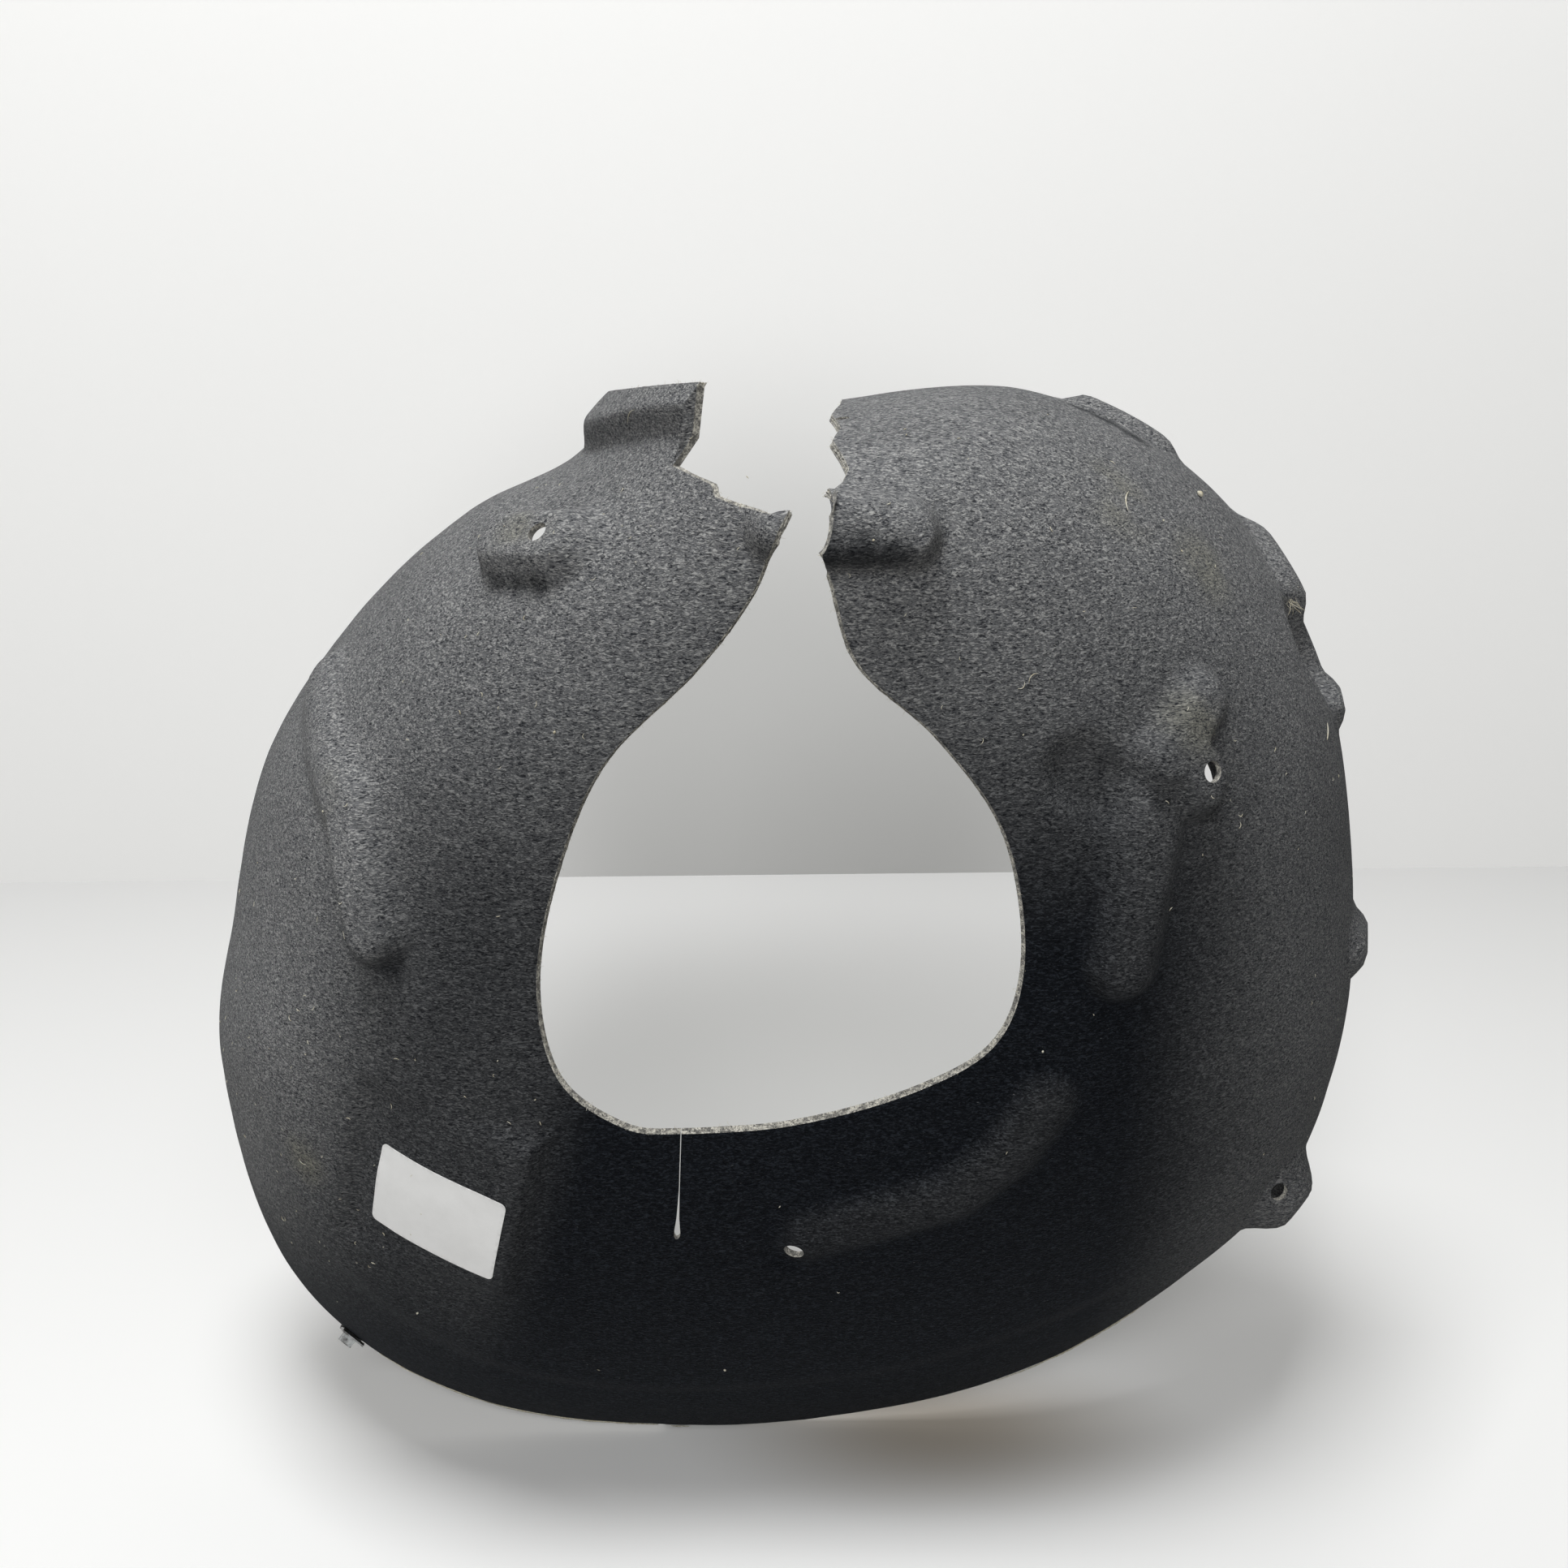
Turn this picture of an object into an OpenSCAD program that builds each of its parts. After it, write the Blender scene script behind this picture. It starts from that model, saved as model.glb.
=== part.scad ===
// Wheel arch liner: one moulding of pressed felt, bent round the wheel into an almost closed C.
// It stands on the crown of the arch, with its two end arms up and the side that meets
// the car body towards -Y. The wheel goes in from +Y. The origin is on the crown hole's axis,
// in the middle of the felt.

/* [Felt shell] */
// Thickness of the pressed felt
felt_t = 3.4; // [2.6:0.2:4.4]
// How far the opening's edge stands in front of the crown's rim
front_reach = 120; // [100:2:140]
// How far the arms' rims stand behind the crown's rim
arm_reach = 100; // [70:2:130]
// How far the section turns round from face to rim at the crown, in degrees
crown_turn = 55; // [48:1:60]
// How far it turns round along the arms, in degrees
arm_turn = 86; // [78:1:88]
// Step of the flange that runs along the crown's rim
hem_step = 3; // [0:0.5:5]
// How far the crown's rim is cut back left of the slit
lip_step = 5; // [0:0.5:8]

/* [Fixing holes] */
// Diameter of the holes for the fixing screws and clips
fixing_d = 10; // [6:0.5:12]
// Diameter of the hole in the arm's end tab
tab_hole_d = 7; // [5:0.5:9]
// Radius of the flat seat round each hole
seat_r = 13; // [11:1:20]
// Width of the slit in the crown where it starts
slit_w = 1; // [0.6:0.2:1.6]
// Width of the slit at its round end
slit_end_d = 3.2; // [2:0.2:5]
// Length of the slit down from the opening's edge
slit_l = 62; // [40:1:75]

/* [Bosses and ribs] */
// Height of the boss round the left arm's fixing hole
left_boss_h = 13; // [8:1:16]
// Height of the boss round the right arm's fixing hole
right_boss_h = 14; // [8:1:18]
// Height of the boss low on the right arm
low_boss_h = 15; // [10:1:20]
// Height of the half-round boss at the right arm's end
end_boss_h = 18; // [10:1:20]
// Height of the raised tab at the left arm's end
tab_h = 11; // [6:1:14]
// Height of the ribs where they end
rib_h = 12; // [6:1:15]
// Height of the knobs on the right arm's tread
knob_h = 8; // [4:1:12]
// Height of the roll along the right arm's rim
rim_roll_h = 7; // [3:1:10]
// Height of the bent channel over the crown
channel_h = 6; // [3:0.5:9]
// Depth of the pocket in the right arm's tread
pocket_d = 14; // [8:1:18]
// Depth of the dimple beside the right boss
dimple_d = 8; // [3:1:10]
// Height of the panel that carries the label
panel_h = 1; // [0:0.5:4]
// Tilt of the panel, its left side sunk and its right side raised, in degrees
panel_tilt = 8; // [0:1:10]

/* [Label] */
// Width of the paper label
label_w = 72; // [56:1:80]
// Height of the paper label
label_l = 50; // [36:1:56]
// Thickness of the paper
label_t = 0.3; // [0.2:0.05:0.4]
// Radius of the label's corners
label_r = 3; // [1:0.5:6]

/* [Clip] */
// Thickness of the clip's sheet steel
clip_t = 1; // [0.6:0.1:1.4]
// Width of the clip along the rim
clip_w = 15; // [10:1:20]
// Length of the clip's leaves on the felt
clip_grip = 9; // [6:1:14]
// Length of the clip's plate beyond the rim
clip_tail = 13; // [10:1:18]
// Width across the square nut
nut_w = 8; // [6:0.5:9]
// Height of the square nut
nut_h = 5; // [3:0.5:7]
// Bore of the square nut
nut_bore = 4.2; // [3:0.2:4.6]

/* [Hidden] */
step = 0.01;          // small step in station and turn for measuring a slope
cut_depth = 30;       // length of the tools that cut the holes

// Stations from the left arm's end round the crown to the right arm's end:
// the opening's edge [x, z] and the rim [x, z], seen from the front, with the
// crown's rim at z = 0.
stations = [
    [112, 598, -12, 593], [72, 542, -48, 557], [56, 506, -108, 528], [30, 472, -168, 477],
    [-12, 430, -225, 400], [-36, 376, -253, 306], [-46, 324, -265, 220], [-38, 280, -227, 104],
    [-10, 256, -126, 26], [18, 252, -4, 2], [72, 256, 134, 14], [128, 272, 268, 60],
    [166, 296, 362, 126], [178, 338, 398, 216], [168, 396, 398, 328], [138, 440, 372, 445],
    [102, 474, 306, 541], [90, 510, 204, 592], [84, 528, 92, 586]
];
last = len(stations) - 1;
crown_at = 9;         // the station in the middle of the crown
lip_gap = 0.03;       // share of a station that the step in the crown's rim takes
section_l = 265;      // length of the crown's section from the opening's edge to the rim

// Cut lines of the two arms' ends: [place across the section, station]
left_cut = [
    [0, 0.97], [0.015, 0.97], [0.035, 1.03], [0.12, 1], [0.19, 0.95], [0.215, 0.86],
    [0.355, 0.76], [0.375, 0.16], [0.82, 0.3], [1, 0.32]
];
right_cut = [
    [0, 17.7], [0.1, 18], [0.215, 17.96], [0.3, 17.78], [0.36, 17.76], [0.525, 17.94],
    [0.615, 17.88], [0.74, 17.95], [0.86, 17.88], [1, 17.85]
];
// Places of the grid's rows across the section, close together where the relief is
rows = concat([for (u = [0:0.04:0.321]) u], [0.355, 0.375], [for (u = [0.41:0.04:0.5]) u],
    [for (u = [0.53:0.05:0.7]) u], [0.74, 0.8, 0.86, 0.93, 1]);
// Grid columns from each station to the next
columns = [7, 6, 7, 9, 9, 5, 7, 7, 5, 6, 8, 8, 8, 8, 9, 7, 5, 5];

// Fixing holes: [station, place across the section, diameter]
left_hole = [1.9, 0.41, fixing_d];
right_hole = [14.68, 0.32, fixing_d];
low_hole = [12.15, 0.67, fixing_d];
crown_hole = [9.77, 0.24, fixing_d];
tab_hole = [17.86, 0.69, tab_hole_d];
holes = [left_hole, right_hole, low_hole, crown_hole, tab_hole];
seat_blend = 10;          // width of the ring over which a seat runs out into the relief
slit_at = [9.02, 0];
clip_at = [7.46, 1];
label_at = [7.16, 0.329];

// Raised features: [from, to, radius, flank above, flank below, height from, height to]
raised = [
    [[-58, -60, 520], [-34, -80, 523], 9, 22, 15, left_boss_h, left_boss_h],
    [[-40, 60, 591], [42, -84, 595], 15, 12, 12, tab_h, tab_h],
    [[-168, 11, 447], [-136, -79, 401], 6, 17, 17, rib_h / 2, rib_h * 0.7],
    [[-136, -79, 401], [-123, -100, 345], 8, 15, 9, rib_h * 0.7, rib_h],
    [[263, -80, 448], [240, -100, 424], 5, 17, 13, right_boss_h * 0.7, right_boss_h],
    [[252, -95, 422], [256, -94, 413], 9, 10, 11, right_boss_h, right_boss_h],
    [[238, -104, 408], [224, -114, 331], 8, 16, 11, rib_h * 0.6, rib_h * 0.8],
    [[341, 50, 487], [330, 75, 500], 8, 22, 16, knob_h, knob_h],
    [[366, 39, 423], [368, 60, 423], 5, 12, 12, knob_h * 0.75, knob_h * 0.75],
    [[384, 11, 291], [390, 40, 291], 6, 14, 14, knob_h, knob_h],
    [[338, -6, 158], [338, -2, 156], 10, 24, 20, low_boss_h, low_boss_h],
    [[82, -119, 531], [110, -115, 530], 5, 16, 20, end_boss_h, end_boss_h],
    [[190, -117, 265], [174, -116, 238], 7, 12, 12, channel_h, channel_h],
    [[174, -116, 238], [148, -114, 216], 7, 12, 12, channel_h, channel_h],
    [[148, -114, 216], [80, -114, 195], 7, 12, 12, channel_h, channel_h * 0.6],
    [[280, 98, 552], [322, 98, 512], 6, 16, 16, rim_roll_h, rim_roll_h]
];
// Sunk features, written the same way
sunk = [
    [[348, 20, 466], [354, 34, 446], 12, 12, 12, pocket_d, pocket_d],
    [[202, -113, 424], [214, -111, 415], 5, 17, 17, dimple_d, dimple_d]
];
panel_at = [-104, 213];   // middle of the label panel, seen from the front
panel_size = [104, 106];
panel_lean = -14;
panel_flank = 12;
label_lean = -18;         // slope of the label's long sides
label_seat = 0.3;         // gap between the felt and the label
label_columns = 12;
clip_seat = 0.6;          // gap between the felt and each of the clip's leaves
clip_lip = 2.5;           // length of the turned-out ends of the leaves
clip_lip_turn = 30;

function smooth(a, b, x) = let (s = max(0, min(1, (x - a) / (b - a)))) s * s * (3 - 2 * s);
function unit(v) = v / norm(v);
function catmull(a, b, c, d, f) =
    (2 * b + (c - a) * f + (2 * a - 5 * b + 4 * c - d) * f * f + (3 * b - a - 3 * c + d) * f * f * f) / 2;
function at_station(t) =
    let (i = max(0, min(last - 1, floor(t))))
    catmull(stations[max(i - 1, 0)], stations[i], stations[i + 1], stations[min(i + 2, last)], t - i);
function along_arm(t) = smooth(1.2, 4.2, abs(t - crown_at));

// The smooth shell: an arc that turns from the front face round to the rim.
function shell_point(t, u) =
    let (
        s = at_station(t),
        turn = crown_turn + (arm_turn - crown_turn) * along_arm(t),
        out = sin(u * turn) / sin(turn),
        back = (1 - cos(u * turn)) / (1 - cos(turn))
    )
    [
        s[0] + (s[2] - s[0]) * out,
        -front_reach + (front_reach + arm_reach * along_arm(t)) * back,
        s[1] + (s[3] - s[1]) * out
    ];
function shell_out(t, u) =
    unit(cross(shell_point(t, u + step) - shell_point(t, u - step),
        shell_point(t + step, u) - shell_point(t - step, u)));

// Height that one feature gives at a point of the shell.
function feature(p, f) =
    let (
        run = f[1] - f[0],
        s = max(0, min(1, (p - f[0]) * run / (run * run))),
        away = p - f[0] - run * s,
        d = max(norm(away), 0.001),
        flank = f[4] + (f[3] - f[4]) * (1 + away[2] / d) / 2
    )
    (f[5] + (f[6] - f[5]) * s) * (1 - smooth(f[2], f[2] + flank, d));
function panel(p) =
    let (
        dx = p[0] - panel_at[0],
        dz = p[2] - panel_at[1],
        side = dx * cos(panel_lean) + dz * sin(panel_lean),
        across = abs(side) - panel_size[0] / 2,
        up = abs(dz * cos(panel_lean) - dx * sin(panel_lean)) - panel_size[1] / 2
    )
    (panel_h + side * tan(panel_tilt)) * (1 - smooth(-panel_flank, 0, max(across, up)));
function hem(t, u) = hem_step * smooth(0.6, 0.68, u) * (1 - smooth(2, 3.4, abs(t - crown_at)));
function relief(p, t, u) =
    max([for (f = raised) feature(p, f)]) - max([for (f = sunk) feature(p, f)]) + panel(p) - hem(t, u);

// The relief on the shell, and its outward direction.
function relief_point(t, u) = let (p = shell_point(t, u)) p + shell_out(t, u) * relief(p, t, u);
function relief_out(t, u) =
    unit(cross(relief_point(t, u + step) - relief_point(t, u - step),
        relief_point(t + step, u) - relief_point(t - step, u)));

// Flat seats round the holes: [middle, outward direction].
seats = [for (h = holes) [relief_point(h[0], h[1]), relief_out(h[0], h[1])]];
function onto_seat(p, s) =
    let (share = 1 - smooth(seat_r, seat_r + seat_blend, norm(p - s[0])))
    p - s[1] * ((p - s[0]) * s[1]) * share;
function onto_seats(p, k = 0) = k == len(seats) ? p : onto_seats(onto_seat(p, seats[k]), k + 1);

// The moulded face that meets the car body, and its outward direction.
function face_point(t, u) = onto_seats(relief_point(t, u));
function face_out(t, u) =
    unit(cross(face_point(t, u + step) - face_point(t, u - step),
        face_point(t + step, u) - face_point(t - step, u)));

// Stations of the grid's columns, with one more just before the step in the crown's rim.
column_stations = concat(
    [for (k = [0:last - 1]) for (i = [0:columns[k] - 1])
        each (k == crown_at && i == 0 ? [k - lip_gap, k] : [k + i / columns[k]])],
    [last]
);
// Station where a grid column crosses a row, fitted to the cut lines at both ends.
fit_left = 2;
fit_right = 17;
function cut_station(t, u) =
    t < fit_left ? lookup(u, left_cut) + (fit_left - lookup(u, left_cut)) * t / fit_left
    : t > fit_right ? fit_right + (lookup(u, right_cut) - fit_right) * (t - fit_right) / (last - fit_right)
    : t;
// Place across the section where a row runs, drawn in left of the crown where the rim is cut back.
function row_place(t, u) =
    u * (1 - (t < crown_at ? lip_step / section_l * smooth(7.6, crown_at - lip_gap, t) : 0));

// A closed sheet between two grids of points with the same rows and columns.
// Each cell is split along the diagonal that lies closer to its middle point.
module sheet(face, back, middles) {
    nc = len(face);
    nr = len(face[0]);
    n = nc * nr;
    function id(i, j) = i * nr + j;
    points = concat([for (c = face) for (p = c) p], [for (c = back) for (p = c) p]);
    function miss(a, b, i, j) = norm((points[a] + points[b]) / 2 - middles[i][j]);
    function cell(i, j) =
        let (a = id(i, j), b = id(i + 1, j), c = id(i + 1, j + 1), d = id(i, j + 1))
        miss(a, c, i, j) < miss(b, d, i, j) ? [a, b, c, d] : [b, c, d, a];
    cells = [for (i = [0:nc - 2]) for (j = [0:nr - 2]) cell(i, j)];
    quads = concat(
        cells,
        [for (c = cells) [n + c[0], n + c[3], n + c[2], n + c[1]]],
        [for (i = [0:nc - 2]) [id(i, 0), n + id(i, 0), n + id(i + 1, 0), id(i + 1, 0)]],
        [for (i = [0:nc - 2]) [id(i + 1, nr - 1), n + id(i + 1, nr - 1), n + id(i, nr - 1), id(i, nr - 1)]],
        [for (j = [0:nr - 2]) [id(0, j + 1), n + id(0, j + 1), n + id(0, j), id(0, j)]],
        [for (j = [0:nr - 2]) [id(nc - 1, j), n + id(nc - 1, j), n + id(nc - 1, j + 1), id(nc - 1, j + 1)]]
    );
    polyhedron(points = points, faces = [for (q = quads) for (k = [1, 2]) [q[0], q[k], q[k + 1]]]);
}

// Moves what is drawn upright at the origin onto the shell, standing along its outward direction.
module on_face(p, out) {
    translate(p) rotate([0, acos(out[2]), atan2(out[1], out[0])]) children();
}

module liner() {
    places = [for (t = column_stations) [for (u = rows) [cut_station(t, u), row_place(t, u)]]];
    face = [for (c = places) [for (q = c) face_point(q[0], q[1])]];
    back = [for (c = places) [for (q = c) face_point(q[0], q[1]) - face_out(q[0], q[1]) * felt_t]];
    middles = [for (i = [0:len(places) - 2]) [for (j = [0:len(rows) - 2])
        let (q = (places[i][j] + places[i + 1][j + 1]) / 2) face_point(q[0], q[1])]];
    color("#3a3c40") difference() {
        sheet(face, back, middles);
        for (h = holes) on_face(face_point(h[0], h[1]), face_out(h[0], h[1]))
            cylinder(h = cut_depth, d = h[2], center = true, $fn = 48);
        slit();
    }
}

// The slit that lets the crown close up: a narrow cut with a wider, round end.
module slit() {
    translate(face_point(slit_at[0], slit_at[1])) rotate([90, 0, 0])
        linear_extrude(height = cut_depth * 2, center = true) {
            translate([-slit_w / 2, -slit_l]) square([slit_w, slit_l + cut_depth]);
            translate([0, -slit_l]) circle(d = slit_end_d, $fn = 32);
        }
}

// Place on the moulded face under a point, found by sliding along the face's two slopes.
function place_under(p, q, tries = 4) =
    tries == 0 ? q
    : let (
        along = (face_point(q[0] + step, q[1]) - face_point(q[0] - step, q[1])) / (2 * step),
        across = (face_point(q[0], q[1] + step) - face_point(q[0], q[1] - step)) / (2 * step),
        miss = p - face_point(q[0], q[1]),
        aa = along * along, bb = across * across, ab = along * across,
        det = aa * bb - ab * ab,
        da = ((miss * along) * bb - (miss * across) * ab) / det,
        db = ((miss * across) * aa - (miss * along) * ab) / det
    )
    place_under(p, [q[0] + da, q[1] + db], tries - 1);

// The paper label, bent onto the panel, with its corners rounded by drawing the end columns in.
module label() {
    middle = face_point(label_at[0], label_at[1]);
    out = face_out(label_at[0], label_at[1]);
    level = unit(cross(out, [0, 0, 1]));
    long_side = level * cos(label_lean) - cross(level, out) * sin(label_lean);
    short_side = cross(long_side, out);
    function inset(d) = d >= label_r ? 0 : label_r - sqrt(label_r * label_r - pow(label_r - d, 2));
    ends = [0, label_r * 0.1, label_r * 0.4, label_r];
    middles = [for (i = [1:label_columns - 1]) label_r + (label_w - 2 * label_r) * i / label_columns];
    cols = concat(ends, middles, [for (k = [3:-1:0]) label_w - ends[k]]);
    lines = [for (j = [0:6]) j / 6];
    places = [for (d = cols) [for (v = lines)
        let (
            half = label_l / 2 - inset(min(d, label_w - d)),
            target = middle + long_side * (d - label_w / 2) + short_side * half * (2 * v - 1)
        )
        place_under(target, label_at)]];
    function lifted(q, h) = face_point(q[0], q[1]) + face_out(q[0], q[1]) * h;
    top = label_seat + label_t;
    color("#e8e8e6") sheet(
        [for (c = places) [for (q = c) lifted(q, top)]],
        [for (c = places) [for (q = c) lifted(q, label_seat)]],
        [for (i = [0:len(cols) - 2]) [for (j = [0:len(lines) - 2])
            lifted((places[i][j] + places[i + 1][j + 1]) / 2, top)]]
    );
}

// The spring clip on the crown's rim: a sheet bent round the felt, and a square nut on its tail.
module clip_nut() {
    rim = face_point(clip_at[0], clip_at[1]);
    out = face_out(clip_at[0], clip_at[1]);
    along = unit(cross(rim - face_point(clip_at[0], clip_at[1] - step), out));
    off_rim = cross(out, along);
    gap = felt_t + 2 * clip_seat;
    bend = gap / 2 + clip_t;
    nut_y = (clip_tail + clip_seat) / 2;
    frame = [for (k = [0:2]) [along[k], off_rim[k], out[k], rim[k]]];
    color("#b9bcbc") multmatrix(frame) translate([0, 0, -felt_t / 2]) difference() {
        union() {
            rotate([90, 0, 90]) linear_extrude(height = clip_w, center = true) clip_section(gap, bend);
            translate([-nut_w / 2, nut_y - nut_w / 2, bend - clip_t / 2])
                cube([nut_w, nut_w, nut_h + clip_t / 2]);
        }
        translate([0, nut_y, 0]) cylinder(h = cut_depth, d = nut_bore, center = true, $fn = 48);
    }
}

// Side view of the clip's sheet: [off the rim, out of the felt].
module clip_section(gap, bend) {
    flat = clip_tail - bend;
    difference() {
        union() {
            translate([-clip_grip, -bend]) square([clip_grip + flat, 2 * bend]);
            translate([flat, 0]) circle(r = bend, $fn = 64);
        }
        translate([-clip_grip - 1, -gap / 2]) square([clip_grip + 1 + flat, gap]);
        translate([flat, 0]) circle(d = gap, $fn = 64);
    }
    for (side = [-1, 1]) scale([1, side]) translate([-clip_grip, gap / 2]) rotate(-clip_lip_turn)
        translate([-clip_lip, 0]) square([clip_lip, clip_t]);
}

// Point on a hole's axis in the middle of the felt.
function hole_middle(h) = face_point(h[0], h[1]) - face_out(h[0], h[1]) * felt_t / 2;

// Puts the origin in the middle of the crown hole.
module in_place() {
    translate(-hole_middle(crown_hole)) children();
}

in_place() liner();
in_place() label();
in_place() clip_nut();
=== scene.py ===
"""Looks of a wheel arch liner: the pressed felt moulding, its label, its rim clip and the dust on it."""
import logging
import math
from dataclasses import dataclass, field
from enum import Enum
from functools import cached_property
from typing import Callable

import bpy
import numpy as np
from mathutils import Matrix, Vector


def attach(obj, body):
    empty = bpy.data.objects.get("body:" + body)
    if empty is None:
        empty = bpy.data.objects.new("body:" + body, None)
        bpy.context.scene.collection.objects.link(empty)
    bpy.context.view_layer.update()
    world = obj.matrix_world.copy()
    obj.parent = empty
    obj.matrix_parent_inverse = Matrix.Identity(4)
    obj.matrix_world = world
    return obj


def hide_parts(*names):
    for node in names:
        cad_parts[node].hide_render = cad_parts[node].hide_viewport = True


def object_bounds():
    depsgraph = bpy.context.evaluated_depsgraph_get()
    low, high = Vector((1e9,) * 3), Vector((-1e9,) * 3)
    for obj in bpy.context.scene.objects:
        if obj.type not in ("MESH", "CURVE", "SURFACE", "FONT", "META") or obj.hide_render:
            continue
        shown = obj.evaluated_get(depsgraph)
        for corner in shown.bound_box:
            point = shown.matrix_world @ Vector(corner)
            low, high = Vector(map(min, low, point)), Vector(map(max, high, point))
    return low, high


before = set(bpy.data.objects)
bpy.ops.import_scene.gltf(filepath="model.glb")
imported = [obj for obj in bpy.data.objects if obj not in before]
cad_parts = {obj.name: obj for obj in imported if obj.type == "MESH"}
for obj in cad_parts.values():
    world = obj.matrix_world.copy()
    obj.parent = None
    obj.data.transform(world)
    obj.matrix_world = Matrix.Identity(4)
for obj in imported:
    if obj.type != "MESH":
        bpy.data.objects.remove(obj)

CAD_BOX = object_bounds()
MM = 0.001
log = logging.getLogger("wheel_arch_liner")

Points = np.ndarray
Pair = tuple[float, float]
Triple = tuple[float, float, float]
Spot = tuple[float, float, float, float]
Waves = tuple[tuple[float, int, float], ...]
Socket = bpy.types.NodeSocket
Material = bpy.types.Material
Piece = bpy.types.Object


class Zone(Enum):
    """Material slots of the felt moulding, in the order that its faces use."""

    NAP = 0
    CUT_EDGE = 1


class Light(Enum):
    """The studio's lamps."""

    OVERHEAD = "overhead_softbox"
    FRONT = "front_softbox"


def smooth(low: float, high: float, value: Points) -> Points:
    """Ease from 0 at low to 1 at high, flat at both ends.

    Args:
        low: Value at which the ease starts.
        high: Value at which it ends.
        value: Values to ease.

    Returns:
        Shares from 0 to 1, in the shape of value.
    """
    share = np.clip((value - low) / (high - low), 0, 1)
    return share * share * (3 - 2 * share)


def unit(vectors: Points) -> Points:
    """Return the vectors at length 1."""
    return vectors / np.maximum(np.linalg.norm(vectors, axis=-1, keepdims=True), 1e-9)


def lumps(points: Points, size: float, seed: int) -> Points:
    """Smooth random heights on a lattice, for undulation that follows no pattern.

    Args:
        points: Places in mm, with x, y and z on the last axis.
        size: Lattice spacing in mm.
        seed: Number that picks one set of heights.

    Returns:
        Heights from -1 to 1, one for each point.
    """
    table = np.random.default_rng(seed).uniform(-1, 1, (32, 32, 32))
    scaled = points / size + 1000
    cell = np.floor(scaled).astype(int)
    part = scaled - cell
    part = part * part * (3 - 2 * part)
    total = np.zeros(points.shape[:-1])
    for corner in range(8):
        step = np.array([corner & 1, corner >> 1 & 1, corner >> 2 & 1])
        weight = np.prod(np.where(step, part, 1 - part), axis=-1)
        x, y, z = np.moveaxis((cell + step) % 32, -1, 0)
        total += weight * table[x, y, z]
    return total


def waves(points: Points, parts: Waves) -> Points:
    """Return random heights added up from parts, each with its lattice spacing, its seed and its height."""
    return sum(lumps(points, size, seed) * height for size, seed, height in parts)


@dataclass(frozen=True)
class Feature:
    """A form raised from the shell or sunk into it: a capsule with soft flanks, in mm."""

    start: Triple
    end: Triple
    radius: float
    flank_above: float
    flank_below: float
    height_start: float
    height_end: float

    def height(self, points: Points) -> Points:
        """Return the form's height at points of the shell.

        Args:
            points: Places in mm, with x, y and z on the last axis.

        Returns:
            Heights in mm, one for each point.
        """
        start = np.array(self.start)
        run = np.array(self.end) - start
        share = np.clip((points - start) @ run / (run @ run), 0, 1)
        away = points - start - share[..., None] * run
        distance = np.maximum(np.linalg.norm(away, axis=-1), 1e-3)
        lean = (1 + away[..., 2] / distance) / 2
        flank = self.flank_below + (self.flank_above - self.flank_below) * lean
        crest = self.height_start + (self.height_end - self.height_start) * share
        return crest * (1 - smooth(0, 1, (distance - self.radius) / flank))


@dataclass(frozen=True)
class Hole:
    """A round hole through the felt: its station, its place across the section and its bore."""

    station: float
    across: float
    diameter: float


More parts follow.
